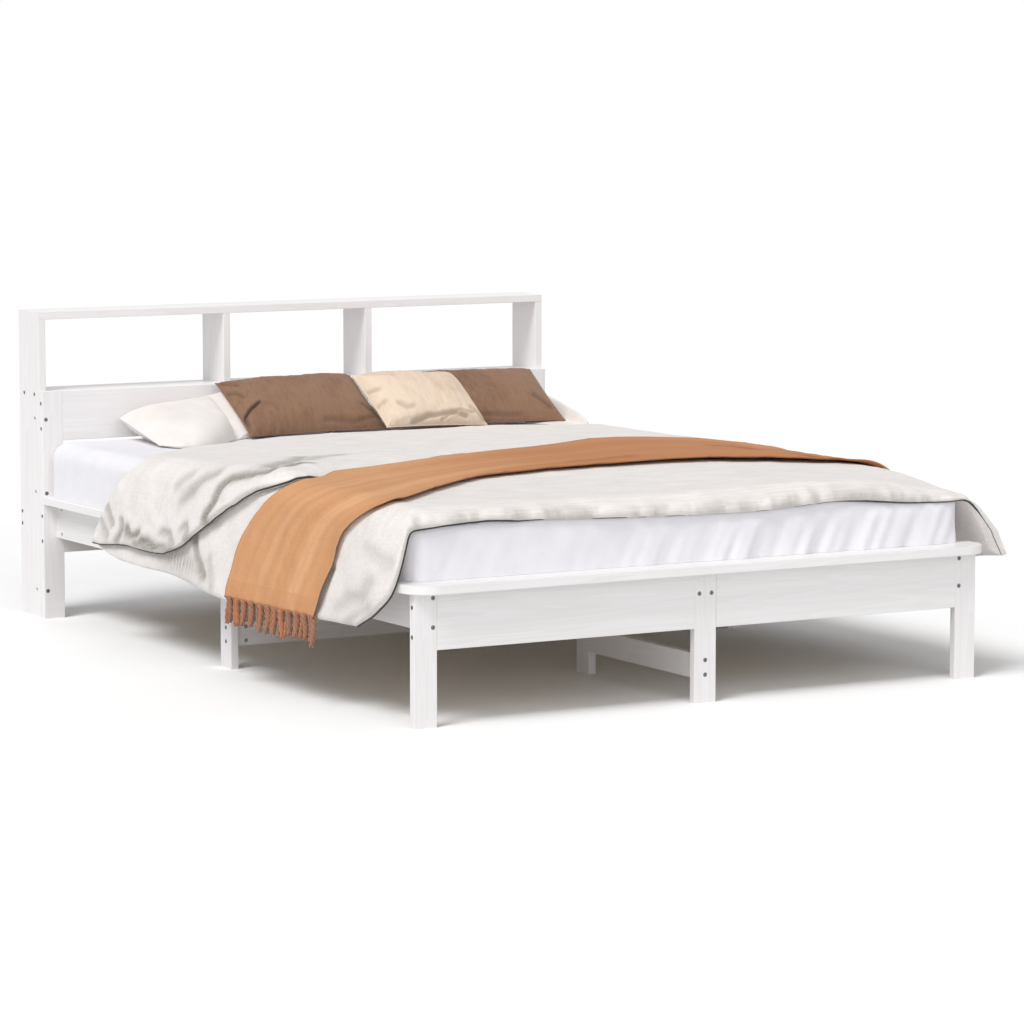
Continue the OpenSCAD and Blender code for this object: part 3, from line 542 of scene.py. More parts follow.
def velvet(name, colour, dark):
    """Matt short pile, crinkled up and down the cushion, with painted shade down in its creases.
    """
    m = Maker(name, 0.88, Sheen_Weight=0.4, Sheen_Roughness=0.45,
              Sheen_Tint=rgb(mixed(colour, WHITE, 0.5)))
    patches = m.noise(m.coords(), 6.0, 3, 0.6, 0.4)
    crinkle = m.noise(m.coords((105, 30, 30)), 1.0, 3, 0.65, 0.6)
    pile = m.noise(m.coords(), 900.0, 2, 0.6)
    base = m.ramp(m.share(0.55, patches, crinkle), [
        (0.34, dark), (0.52, colour), (0.72, mixed(colour, WHITE, 0.06))])
    # Painted shade down in the creases
    m.colour(m.blend(m.attribute("fold"), base, rgb(mixed(dark, CREASE_SHADE, 0.55))))
    return m.finished((crinkle, 0.35, 0.003), (pile, 0.3, 0.0005))


def shadow_cord_material():
    """Dark twisted cord: piping along the duvet's hems, dark enough to stand for the shadow gap
    under them, so partly a painted shadow line.
    """
    m = Maker("shadow_cord", 0.8, Sheen_Weight=0.2)
    twist = m.noise(m.coords(), 500.0, 3)
    m.stained(twist, HEM_SHADOW_CORD, HEM_CORD_TWIST, 0.6)
    return m.finished((twist, 0.5, 0.0006))


# Frame looks


def finish_frame():
    """Paint, bare wood and metal on the frame's nodes, each grained along its board."""
    paints = [painted_pine(axis) for axis in range(3)]
    looks = {"slats": bare_pine(0), "dowels": bare_pine(2), "slat_tapes": tape_material(),
             "slat_ledger_left": bare_pine(1), "joint_bolts": metal("bolt_steel", STEEL, 0.38),
             "barrel_nuts": metal("nut_steel", NUT_STEEL, 0.34)}
    looks["slat_ledger_right"] = looks["slat_ledger_left"]
    for name in frame["record"]["behaviour"]["bodies"]["frame"]:
        low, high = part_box(name)
        board = paints[int(np.argmax(np.subtract(high, low)))]
        materials = frame["nodes"][name].data.materials
        materials.clear()
        materials.append(looks.get(name, board))


# Cloth over the bed. Places are the unrolled distance across from the bed's middle, left
# negative, and the distance from the foot legs' front faces, both in metres.


def metres(table):
    """A table given in millimetres, in metres."""
    if isinstance(table, (list, tuple)):
        return [metres(row) for row in table]
    return table / 1000


# The next tables give places along and a size, for the left side and then for the right.
# How far the cloth flares out at a full hang
FLARE = metres([
    [(0, 58), (400, 56), (660, 54), (900, 52), (1200, 60), (1600, 62)],
    [(0, 150), (120, 115), (300, 70), (600, 56), (1200, 60), (1600, 60)]])
# Hang of the lower layer, of the turned-down layer and of the throw below the edge
LOWER_HANG = metres([
    [(-20, 205), (180, 211), (280, 214), (500, 223), (950, 224), (1045, 212), (1153, 204),
     (1350, 204), (1510, 196), (1600, 180)],
    [(-20, 135), (120, 150), (300, 215), (480, 238), (960, 240), (1240, 205), (1600, 185)]])
TURNED_HANG = metres([
    [(600, 160), (1150, 152), (1270, 160), (1400, 158), (1560, 172)],
    [(500, 165), (1600, 170)]])
THROW_HANG = metres([
    [(200, 208), (345, 211), (810, 218), (1200, 220)],
    [(100, 160), (400, 210), (850, 225), (1200, 225)]])
# Edges of the cloths, as pairs of place across and place along
FOOT_EDGE = metres([
    (-1030, 200), (-1010, 175), (-979, 111), (-940, 58), (-888, 24), (-850, 13), (-800, 11),
    (-710, 13), (-600, 21), (-440, 17), (-160, 7), (180, 3), (420, 13), (600, -1), (720, -4),
    (800, 4), (860, 8), (935, 12), (1040, 20)])
HEAD_EDGE = metres([
    (-1000, 1600), (-962.5, 1593), (-921, 1578), (-880, 1553), (-830, 1515), (-789, 1470),
    (-753, 1425), (-715, 1435), (-609, 1530), (-500, 1590), (-388, 1640), (-199, 1715), (0, 1730),
    (113, 1715), (262, 1705), (450, 1725), (660, 1680), (800, 1600), (1000, 1570)])
TURNED_EDGE = metres([
    (-970, 1240), (-955, 1190), (-945, 1150), (-924, 1075), (-888, 1006), (-846, 925),
    (-804, 845), (-776, 765), (-756, 705), (-735, 662), (-700, 660), (-642, 672), (-580, 695),
    (-500, 715), (-360, 765), (-200, 835), (0, 910), (170, 965), (300, 990), (450, 990),
    (550, 960), (630, 900), (700, 870), (800, 890), (960, 950)])
THROW_FRONT = metres([
    (-1010, 345), (-950, 334), (-890, 308), (-830, 292), (-800, 272), (-775, 228), (-745, 175),
    (-700, 165), (-620, 235), (-539, 315), (-345, 474), (-230, 537), (-67, 570), (177, 590),
    (401, 580), (550, 540), (650, 460), (720, 380), (800, 340), (1000, 320)])
THROW_BACK = metres([
    (-1015, 810), (-973, 808), (-903, 792), (-838, 755), (-787, 700), (-754, 655), (-718, 630),
    (-650, 655), (-580, 700), (-500, 735), (-362, 795), (-132, 895), (168, 1010), (372, 1050),
    (536, 1020), (630, 940), (690, 830), (750, 770), (850, 750), (1000, 750)])

# Creases in the duvet's layers: points, width and depth in millimetres, and how dark their
# painted shade is
TURNED_CREASES = [
    ([(-841, 937), (-804, 912), (-780, 908), (-764, 886), (-745, 807), (-726, 745), (-600, 810)],
     10, 11, 0.9),
    ([(-816, 1100), (-774, 1028), (-752, 977)], 14, 9, 0.55),
    ([(-790, 1160), (-760, 1100)], 10, 5, 0.35),
    ([(-700, 790), (-600, 910), (-510, 1033)], 20, 8, 0.7),
    ([(-620, 860), (-500, 980), (-380, 1060)], 20, 5, 0.5),
    ([(-858, 1555), (-885, 1520), (-913, 1486)], 8, 7, 0.6),
    ([(-900, 1575), (-925, 1540), (-940, 1500)], 8, 6, 0.5),
    ([(-917, 1400), (-930, 1360), (-925, 1330)], 10, 9, 0.9),
    ([(-900, 1440), (-925, 1430), (-950, 1450)], 9, 7, 0.7),
    ([(-935, 1300), (-927, 1260), (-940, 1220)], 9, 9, 0.9),
    ([(-905, 1190), (-902, 1130), (-925, 1100)], 10, 8, 0.6),
    ([(-877, 1060), (-877, 1020), (-900, 1030)], 9, 7, 0.6),
    ([(-945, 1340), (-945, 1240), (-935, 1120)], 8, 6, 0.7)]
LOWER_CREASES = [
    ([(-975, 250), (-954, 210), (-944, 130), (-900, 100)], 16, 9, 0.35),
    ([(-1000, 190), (-960, 100)], 12, 7, 0.3),
    ([(-900, 320), (-990, 345)], 10, 9, 0.8),
    ([(-930, 360), (-1000, 380)], 8, 6, 0.6),
    ([(-860, 50), (-830, 160)], 12, 6, 0.25),
    ([(-985, 950), (-950, 990), (-900, 1020)], 12, 9, 0.8),
    ([(-1000, 900), (-940, 930)], 10, 6, 0.4)]


def sided(tables, left, y):
    """A table for the left side where left is true, else the one for the right."""
    return np.where(left, curve(tables[0], y), curve(tables[1], y))


def laid(a, q, front, back, hang):
    """Places of a strip of cloth for a across from -1 to 1 and q along from 0 to 1."""
    w = a
    for step in range(5):
        if step:
            w = a * (EDGE_X + ARC + sided(hang, a < 0, y))
        y = curve(front, w) * (1 - q) + curve(back, w) * q
    return w, y


def bump(w, y, w0, y0, width, length):
    """A soft hill of height 1 round a place."""
    return np.exp(-(((w - w0) / width) ** 2) - ((y - y0) / length) ** 2)


def corner_sag(w, y):
    """How far the mattress gives way at its right foot corner."""
    return 0.022 * bump(w, y, 0.74, 0.05, 0.15, 0.17)


def cover(w, y, off):
    """Point at the place w across and y along, off above the sheet."""
    left = w < 0
    side = np.where(left, -1.0, 1.0)
    f = np.clip((np.abs(w) - EDGE_X) / ARC, 0, 1) * (math.pi / 2)
    hang = np.maximum(np.abs(w) - EDGE_X - ARC, 0)
    radius = EDGE_R + off
    steep = np.where(left, 1.0, 0.75 + 0.25 * ease(y / 0.4))
    flare = (hang / FULL_HANG) ** steep * sided(FLARE, left, y)
    x = side * (np.minimum(np.abs(w), EDGE_X) + radius * np.sin(f) + flare)
    g = np.clip((EDGE_V - y) / FOOT_ROLL, 0, math.pi / 2)
    fall = ((1 - np.cos(f)) ** 3 + (1 - np.cos(g)) ** 3) ** (1 / 3)
    level = 1 - np.minimum(fall, 1)
    z = EDGE_Z + radius * level - hang - corner_sag(w, y) * level
    return np.stack([x, np.where(y < EDGE_V, EDGE_Y - radius * np.sin(g), FOOT_Y + y), z], -1)


def rim(distance, radius):
    """Share of the full thickness at a distance from a rounded rim."""
    x = np.clip(distance / radius, 0, 1)
    return np.sqrt(np.maximum(1 - (1 - x) ** 2, 0))


def on_drape(w):
    """0 on the bed's top, 1 where the cloth hangs down its sides."""
    return ease((np.abs(w) - EDGE_X - 0.02) / 0.10)


def settle(w, y):
    """The duvet lies flatter towards the head and along the right edge, where it is pressed."""
    right = ease((w - 0.25) / 0.4) * (1 - on_drape(w))
    return (1 - 0.62 * ease((y - 0.7) / 0.8)) * (1 - 0.45 * right)


def creased(w, y, creases, stray=0.006):
    """Depth and painted shade of a list of creases, with the puffed cloth beside each."""
    depth, shade = np.zeros(np.shape(w)), np.zeros(np.shape(w))
    wander = layered(w * 22, y * 22, 71, 2) * stray
    for row in creases:
        (points, width, deep), dark = metres(row[:3]), row[3]
        narrow = crease(w + wander, y - wander, points, width)
        puff = crease(w, y, points, width * PUFF_WIDTH)
        depth += 0.75 * deep * (narrow - 0.55 * puff)
        # The painted shade sits a little beyond each crease, on its far wall
        shade_band = crease(w + wander, y - wander - 0.6 * width, points, 1.45 * width)
        shade = np.maximum(shade, dark * shade_band)
    return depth, shade


def hem_lumps(w, y):
    """Gathers in the cloth along the foot hem: height, and painted shade where they dip."""
    past = y - curve(FOOT_EDGE, w)
    top = 1 - on_drape(w)
    lump = layered(w * 34, y * 14, 61, 3)
    shade = np.clip(0.45 - 0.9 * lump, 0, 1) * np.exp(-(((past - 0.008) / 0.022) ** 2))
    return np.exp(-((past / 0.030) ** 2)) * (0.005 + 0.006 * lump) * top, top * shade


def right_folds(w, y, seed):
    """Soft folds that fall down the right drape."""
    return layered(y * 5.5 + 0.8 * w, w * 1.2, seed, 2) * on_drape(w) * (w > 0)


def lower_top(w, y):
    """Height of the lower layer's upper face above the sheet."""
    drape = on_drape(w)
    soft = layered(w * 2.2, y * 2.2, 3, 2) * 0.003
    folds = ridges(w * 4 + 5, y * 7, 11) * 0.002
    corner = 1 - 0.8 * bump(w, y, 0.72, 0.03, 0.10, 0.13)
    lobe = 0.020 * bump(w, y, -0.88, 0.14, 0.08, 0.10) + 0.010 * bump(w, y, -0.9, 1.0, 0.1, 0.2)
    crumple = layered(w * 16, y * 16, 29, 3) * 0.0022 * drape + 0.009 * right_folds(w, y, 57)
    lumps = hem_lumps(w, y)[0]
    base = (LAYER_T + 0.006 * drape + soft + folds) * settle(w, y) * corner
    return np.maximum(base + lobe + crumple + lumps, THINNEST)


def turned_height(w, y):
    """Thickness of the turned-down layer, pressed flat under the throw."""
    drape = on_drape(w)
    soft = layered(w * 2.6 + 9, y * 2.6, 5, 2) * 0.003
    folds = ridges(w * 5, y * 5, 17) * 0.003
    crumple = layered(w * 18 + 4, y * 18, 33, 3) * 0.0025 * drape
    crumple = crumple + 0.005 * right_folds(w, y, 63)
    puff = 0.016 * bump(w, y, -0.83, 1.40, 0.08, 0.15)
    beyond = ease((y - curve(THROW_BACK, w) + 0.01) / 0.12)
    pressed = ease((w + 0.72) / 0.12) * (1 - drape) * (1 - beyond)
    high = (LAYER_T + soft + folds) * (settle(w, y) + 0.5 * drape) + puff + crumple
    return high * (1 - 0.8 * pressed)


def duvet_top(w, y):
    """Height of whichever layer of the duvet is on top."""
    tent = 0.016 + 0.06 * ease((w + 0.64) / 0.25)
    on = ease((y - curve(TURNED_EDGE, w)) / tent + 1)
    side = ease((0.975 - np.abs(w)) / 0.01)
    return lower_top(w, y) + on * side * (turned_height(w, y) + 0.003)


def duvet_grid(*edges, counts, size, reach):
    """Share across, places and distance from the hems of a layer's points.

    Its size spaces the points at the hems, and its reach turns shares into distances.
    """
    a = 2 * spaced(counts[0], HEM_R, size[0])[None, :] - 1
    q = spaced(counts[1], HEM_R, size[1])[:, None]
    edge = np.minimum((1 - np.abs(a)) * reach[0], np.minimum(q, 1 - q) * reach[1])
    return a, *laid(a, q, *edges), edge


def duvet_layer(name, material, w, y, edge, middle, half, shade):
    """A layer of the duvet that reaches half to either side of its middle, hems rounded."""
    half = half * rim(edge, HEM_R)
    obj = shell(name, cover(w, y, middle + half), cover(w, y, middle - half))
    store_grid(obj, "fold", shade)
    return dress(obj, material, "duvet_cream", "duvet")


def make_lower(material, shadow_cord):
    """The duvet's lower layer, with a dark cord under its foot hem that shows as a painted shadow
    line.
    """
    a, w, y, edge = duvet_grid(FOOT_EDGE, HEAD_EDGE, LOWER_HANG, counts=(270, 190),
                               size=(2.05, 1.6), reach=(1.02, 1.6))
    depth, shade = creased(w, y, LOWER_CREASES)
    pleat = np.sin(y * 2 * math.pi / PLEAT_STEP + 40 * w) * bump(w, y, -0.965, 1.08, 0.03, 0.09)
    high = np.maximum(lower_top(w, y) - depth + 0.0025 * pleat, THINNEST)
    # Painted shade in the gathers of the foot hem and in the pleats down the left side
    shade = np.maximum(shade, hem_lumps(w, y)[1] * 0.40)
    shade = np.maximum(shade, (0.45 + 0.4 * pleat) * bump(w, y, -0.96, 1.1, 0.035, 0.16))
    middle = (high + LIFT) / 2
    lower = duvet_layer("duvet_lower", material, w, y, edge, middle, (high - LIFT) / 2, shade)
    # A dark cord just under the foot hem, seen where the hem lifts: a painted shadow line
    hem = cover(w[0], y[0], middle[0] - 0.002)
    hem[:, 1] += 0.012 * ease((0.5 - np.abs(a[0])) / 0.1)
    shown = 1 - 0.7 * ease((w[0] - 0.80) / 0.05)
    dress(tube("duvet_foot_shadow_cord", hem, 0.003 * shown), shadow_cord, "duvet_cream")


def make_turned(material, shadow_cord):
    """The duvet's turned-down layer, with a dark cord round its free edges: piping, and a painted
    shadow line under them.
    """
    back = [(across, place + 0.012) for across, place in HEAD_EDGE]
    _, w, y, edge = duvet_grid(TURNED_EDGE, back, TURNED_HANG, counts=(340, 130),
                               size=(1.95, 0.75), reach=(0.96, 0.7))
    depth, shade = creased(w, y, TURNED_CREASES)
    thick = np.maximum(turned_height(w, y) - depth, THINNEST)
    # Painted shade in patches along the lumpy left hem
    patches = np.clip(0.2 + layered(w * 30, y * 14, 83, 3), 0, 1)
    shade = np.maximum(shade, 0.8 * (bump(w, y, -0.945, 1.25, 0.025, 0.2) * patches))
    middle = lower_top(w, y) + 0.0015 + thick / 2
    upper = duvet_layer("duvet_turned", material, w, y, edge, middle, thick / 2, shade)
    # A dark cord round the free edges, just under their middle: piping, and a painted shadow line
    # that fades towards the right
    hem = cover(w, y, middle - 0.001)
    path = np.concatenate([hem[:0:-1, 0], hem[0], hem[1:, -1]])
    shown = 1 - 0.75 * ease((path[:, 0] + 0.62) / 0.2)
    dress(tube("duvet_turned_shadow_cord", path, 0.0028 * shown), shadow_cord, "duvet_cream")


def make_throw(material):
    """The throw: a thin sheet that rests on the duvet, with a painted shadow line where it folds
    at the right.
    """
    a = 2 * spaced(260)[None, :] - 1
    q = spaced(80)[:, None]
    w, y = laid(a, q, THROW_FRONT, THROW_BACK, THROW_HANG)
    roll = 0.006 * np.exp(-((q / 0.05) ** 2)) + 0.003 * np.exp(-(((1 - q) / 0.05) ** 2))
    pulled = 0.8 - 0.5 * layered(w * 1.1, q * 6 + 0.5 * np.sin(2 * w), 23, 2)
    bunch = ease((w - 0.1) / 0.3) * (1 - ease((w - 0.58) / 0.12))
    fold = crease(w, y, [(0.50, 0.86), (0.585, 0.80), (0.64, 0.62), (0.675, 0.44)], 0.036)
    ripple = crease(w, q, [(-0.20, 0.16), (0.05, 0.22), (0.20, 0.20)], 0.05)
    lift = (THROW_GAP + roll + 0.003 * pulled * (1 + bunch) + 0.003 * ripple
            + 0.006 * bunch * ease(q / 0.35))
    off = duvet_top(w, y) + lift
    obj = shell("throw_cloth", cover(w, y, off + THROW_T), cover(w, y, off))
    store_grid(obj, "across", np.broadcast_to(q, w.shape))
    store_grid(obj, "length", np.broadcast_to((a + 1) / 2, w.shape))
    # Painted shade: darker towards the top and right, along the ripple near the front edge, and
    # in a line where the throw folds at the right
    dark = 0.78 * ease((w + 0.55) / 0.7) + 0.25 * ripple
    store_grid(obj, "nap", np.maximum(dark, 1.15 * ease((w - 0.45) / 0.1) * fold))
    return dress(obj, material, "throw_orange", "throw")


def make_fringe(material):
    """Twisted tassels along both ends of the throw, in two overlapping rows."""
    rng = np.random.default_rng(8)
    points, faces, tints = [], [], []
    for side in (-1.0, 1.0):
        for i in range(TASSELS):
            q = (i + 0.5 + 0.25 * rng.uniform(-1, 1)) / TASSELS
            w, y = laid(np.array([side]), np.array([q]), THROW_FRONT, THROW_BACK, THROW_HANG)
            start = cover(w, y, duvet_top(w, y) + 0.005)[0]
            length = 0.066 + 0.010 * rng.uniform(-1, 1)
            tints += tassel(points, faces, start, length, side, rng, i % 2)
    obj = new_object("throw_tassels", points, faces)
    store(obj, "tint", tints)
    return dress(obj, material, "throw_fringe", "throw_fringe")


def tassel(points, faces, start, length, side, rng, behind):
    """Strands round each other, with a knot at the top and a frayed end; gives their tints."""
    tint = rng.uniform(0, 1)
    lean = rng.uniform(-0.12, 0.12)
    turns = rng.uniform(1.2, 2.0)
    for strand in range(STRANDS):
        faces += ring_faces(len(points), RINGS, SIDES)
        for t in np.arange(RINGS) / (RINGS - 1):
            twist = 2 * math.pi * (turns * t + strand / STRANDS)
            spread = 1 + 0.5 * math.exp(-((t - 0.12) / 0.06) ** 2) + 0.6 * max(0, t - 0.8)
            centre = start + np.array([
                -side * 0.004 * behind + 0.004 * t * side,
                lean * length * t + 0.003 * math.sin(5 * t + tint * 6),
                0.006 - length * t])
            centre += 0.0036 * spread * np.array([math.cos(twist), math.sin(twist), 0])
            knot = 1 + 0.35 * math.exp(-((t - 0.12) / 0.05) ** 2)
            thick = 0.0040 * knot * (1 - 0.45 * t**6)
            for angle in np.arange(SIDES) * math.pi / 3:
                points.append(centre + thick * np.array([math.cos(angle), math.sin(angle), 0]))
    return [tint] * (STRANDS * RINGS * SIDES)


# Mattress and sheet


def block_skin(low, high, radius, counts, bulge):
    """Points and faces of a block with rounded upper edges and corners, open below."""
    across, deep, tall = counts
    sides = [(lambda i, k: (i, 0, k), across, tall), (lambda i, k: (across, i, k), deep, tall),
             (lambda i, k: (across - i, deep, k), across, tall),
             (lambda i, k: (0, deep - i, k), deep, tall),
             (lambda i, k: (i, k, tall), across, deep)]
    places = {}
    faces = [[places.setdefault(side(i + right, k + up), len(places))
              for right, up in ((0, 0), (1, 0), (1, 1), (0, 1))]
             for side, columns, rows in sides for i in range(columns) for k in range(rows)]
    points = []
    for place in places:
        p = low + (high - low) * np.array(place) / counts
        inner = np.minimum(np.maximum(p, low + radius), high - radius)
        inner[2] = min(p[2], high[2] - radius)
        away = p - inner
        size = np.linalg.norm(away)
        if size > 1e-9:
            p = inner + away / size * radius
        points.append(bulge(p))
    return np.array(points), faces


def sagged(p):
    """A mattress point, lowered where its corner gives way."""
    share = np.clip((p[2] - EDGE_Z) / EDGE_R, 0, 1)
    return p - [0, 0, corner_sag(p[0], p[1] - FOOT_Y) * share]


def make_sheet(material):
    """Fitted sheet: a thin skin with gathers that slant across its foot face."""
    def bulge(p):
        p = p.copy()
        if p[1] < SHEET_LOW[1] + 0.02:
            amount = ease((p[0] + 0.25) / 0.25) * 0.8 + 0.2
            slant = p[0] - 0.42 * (p[2] - SHEET_LOW[2])
            gather = layered(np.array(slant * 24), np.array(p[2] * 4), 31, 2)
            height = ease((SHEET_TOP - 0.03 - p[2]) / 0.04)
            p[1] -= amount * 0.005 * (gather + 0.6) * height
        return sagged(p)

    skin = block_skin(SHEET_LOW, SHEET_HIGH, EDGE_R, (300, 110, 22), bulge)
    obj = new_object("sheet_cloth", *skin)
    dress(obj, material, "sheet_white", "fitted_sheet")


def make_mattress(material):
    """The mattress, 1 mm inside its CAD solid, with a flat floor."""
    low, high = np.array(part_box("mattress"))
    low, high = low + [0.001, 0.001, 0.0], high - 0.001
    points, faces = block_skin(low, high, MATTRESS_R, (60, 80, 8), sagged)
    count = len(points)
    floor = [i for i, p in enumerate(points) if p[2] < low[2] + 1e-6]
    x, y = (low + high)[:2] / 2
    floor.sort(key=lambda i: math.atan2(points[i][1] - y, points[i][0] - x))
    points = np.concatenate([points, [[x, y, low[2]]]])
    faces += [[a, count, b] for a, b in zip(floor, floor[1:] + floor[:1])]
    obj = new_object("mattress_core", points, faces)
    dress(obj, material, "mattress_cover", "mattress")


# Pillows and cushions


def cushion_grid(width, height, up, down):
    """Crowned cushion in its own frame, its sides drawn in between its corners."""
    ends = [np.sin(np.linspace(-math.pi / 2, math.pi / 2, n)) for n in (61, 43)]
    u, v = np.meshgrid(*ends)
    crown = np.maximum((1 - np.abs(u) ** 3) * (1 - np.abs(v) ** 3), 0) ** 0.62
    x = width / 2 * u * (1 - 0.02 * (1 - v**2))
    y = height / 2 * v * (1 - 0.03 * (1 - u**2))
    return np.stack([x, y, up * crown], -1), np.stack([x, y, -down * crown], -1)


def turns(turn, roll):
    """Matrices that turn cushion points in their own frame, and lean them back."""
    c, s = math.cos(math.radians(roll)), math.sin(math.radians(roll))
    rolled = np.array([[c, s, 0], [-s, c, 0], [0, 0, 1]])
    c, s = math.cos(math.radians(turn)), math.sin(math.radians(turn))
    own = rolled @ np.array([[c, 0, -s], [0, 1, 0], [s, 0, c]])
    c, s = math.cos(LEAN), math.sin(LEAN)
    return own, np.array([[1, 0, 0], [0, c, s], [0, -s, c]])


def leaning(points, x, up, forward, turn, roll):
    """Moves cushion points to the slope that the cushions lean on."""
    own, back = turns(turn, roll)
    return (points @ own + [0, up, forward]) @ back + [x, LEAN_Y, LEAN_Z]


def upright(points, x, up, forward, turn, roll):
    """The opposite of leaning."""
    own, back = turns(turn, roll)
    return ((points - [x, LEAN_Y, LEAN_Z]) @ back.T - [0, up, forward]) @ own.T


# Creases in each cushion's face, measured from its middle: points, width and depth in
# millimetres, and how dark their painted shade is
CUSHION_CREASES = {
    "cushion_left": [
        ([(-202, -88), (-196, -56), (-180, -43), (-146, -28)], 4, 16, 1.0),
        ([(-202, 60), (-180, 35), (-172, 10)], 4, 6, 0.4),
        ([(-196, 100), (-170, 62)], 5, 6, 0.3),
        ([(20, -100), (110, -108), (170, -100)], 5, 6, 0.2),
        ([(150, -60), (190, -100)], 8, 6, 0.4),
        ([(168, 90), (186, 50)], 7, 5, 0.25)],
    "cushion_center": [
        ([(-80, -112), (-20, -101), (40, -97), (90, -102)], 4, 10, 0.45),
        ([(10, -108), (70, -92), (115, -94)], 3, 7, 0.35),
        ([(-100, -60), (-86, -78), (-70, -80)], 6, 6, 0.35),
        ([(-154, 30), (-130, 12)], 5, 6, 0.35),
        ([(-154, -40), (-132, -38)], 5, 5, 0.3),
        ([(110, -78), (152, -114)], 5, 6, 0.4),
        ([(-130, 95), (-70, 60)], 8, 5, 0.2)],
    "cushion_right": [
        ([(-100, -102), (60, -108)], 5, 6, 0.2),
        ([(176, 70), (182, 10)], 6, 4, 0.15),
        ([(160, -90), (120, -50)], 7, 6, 0.35)]}


def make_cushion(name, material, slot, size, thick, place, pleats):
    """Cushion ready to be blown up, and the points of its seam."""
    top, bottom = cushion_grid(*size, *thick)
    u, v = top[..., 0] / size[0] * 2, top[..., 1] / size[1] * 2
    wrinkle = layered(u * 3 + 7 * len(name), v * 2.2, 5 * len(name), 3) * 0.0022
    fan = np.sin(16 * np.arctan2(1.05 - np.abs(v), 1.05 - np.abs(u)))
    near = np.exp(-((1.45 - np.hypot(u, v)) / 0.16) ** 2)
    top[..., 2] += (1 - u**8) * (1 - v**8) * (wrinkle + pleats * fan * near)
    top[..., 2] = np.maximum(top[..., 2], bottom[..., 2])
    obj = shell(name + "_cover", leaning(top, *place), leaning(bottom, *place))
    dress(obj, material, slot, name)
    return obj, rim_loop(top.shape[:2])


def rim_loop(shape):
    """Places of a shell's rim points in its list of vertices, once round."""
    index = np.arange(shape[0] * shape[1]).reshape(shape)
    return np.concatenate([index[0, :-1], index[:-1, -1], index[-1, :0:-1], index[:0:-1, 0]])


# Pillow plans in millimetres: place across, front, back, crown, and how far the cushions
# press it down, or -1 where none lies on it
LEFT_PLAN = [
    (-570, -300, -60, 0, -1), (-548, -345, -25, 16, -1), (-505, -362, -12, 44, -1),
    (-445, -350, -6, 64, -1), (-375, -301, -6, 74, -1), (-305, -226, -6, 80, 0),
    (-220, -186, -6, 108, 0), (-130, -186, -6, 104, 0), (-50, -186, -6, 84, 0),
    (-18, -180, -14, 50, 0), (-6, -170, -26, 0, 0)]
RIGHT_PLAN = [
    (-724, -280, -90, 0, -1), (-714, -318, -50, 20, -1), (-696, -340, -26, 32, 22),
    (-665, -300, -8, 52, 24), (-620, -240, -6, 70, 18), (-560, -190, -6, 104, 4),
    (-460, -186, -6, 108, 0), (-350, -186, -6, 104, 0), (-240, -186, -6, 84, 0),
    (-190, -180, -14, 50, 0), (-172, -170, -26, 0, 0)]


def make_pillow(name, material, plan, mirror):
    """Pillow pressed down where the cushions lie on it, and the points of its seam."""
    xs, fronts, backs, crowns, presses = np.array(metres(plan)).T
    x = np.interp(np.linspace(0, 1, 61), np.linspace(0, 1, len(xs)), xs)[None, :]
    v = np.sin(np.linspace(-math.pi / 2, math.pi / 2, 41))[:, None]
    front, back, crown = (curve(list(zip(xs, t)), x) for t in (fronts, backs, crowns))
    crown = np.maximum(crown, 0)
    y = HEAD_Y + front + (back - front) * (v + 1) / 2
    low = SHEET_TOP + 0.0005
    seam = low + 0.006 + 0.026 * (v + 1)
    dome = np.maximum(1 - v**4, 0) ** 0.6
    near = bump(x, y, -0.35, HEAD_Y - 0.2, 0.09, 0.12)
    pinch = ridges(x * 16, y * 7, 27) * 0.004 * dome * near
    wrinkle = layered(x * 14, y * 14, 19, 3) * 0.004 * dome + pinch
    high = seam + crown * 0.72 * dome + wrinkle * (crown / 0.11)
    deep = np.maximum(low, seam - crown * dome)
    press = np.interp(x, xs, np.maximum(presses, 0))
    free = 1 - np.interp(x, xs, (presses >= 0).astype(float))
    slope = LEAN_Z + (y - LEAN_Y) * math.tan(LEAN) - 0.0018 - press
    high = np.minimum(high, np.maximum(low + 0.002, slope) + free * 0.2)
    deep = np.minimum(deep, np.maximum(low, high - 0.003))
    x = np.broadcast_to(x, y.shape)
    middle = (high + deep) / 2
    top, bottom = np.stack([x, y, high], -1), np.stack([x, y, deep], -1)
    for grid in (top, bottom):
        for end in (0, -1):
            grid[end, :, 2] = middle[end]
            grid[:, end, 2] = middle[:, end]
    if mirror:
        top, bottom = (g[:, ::-1] * [-1, 1, 1] for g in (top, bottom))
    obj = shell(name + "_cover", top, bottom)
    dress(obj, material, "pillow_ivory", name)
    return obj, rim_loop(top.shape[:2])


def read_points(mesh):
    flat = np.empty(len(mesh.vertices) * 3)
    mesh.vertices.foreach_get("co", flat)
    return flat.reshape(-1, 3)


# Cloth settings, frames and furthest move for blowing up the cushions and pillows
PUFFED = {"quality": 5, "mass": 0.25, "tension_stiffness": 12, "compression_stiffness": 12,
          "bending_stiffness": 0.15, "use_pressure": True, "uniform_pressure_force": 3.0,
          "shrink_min": -0.02}
PUFF_FRAMES = 20
PUFF_CAP = 0.004
# Radius of the seams
CUSHION_SEAM_R = 0.0016
PILLOW_SEAM_R = 0.0012


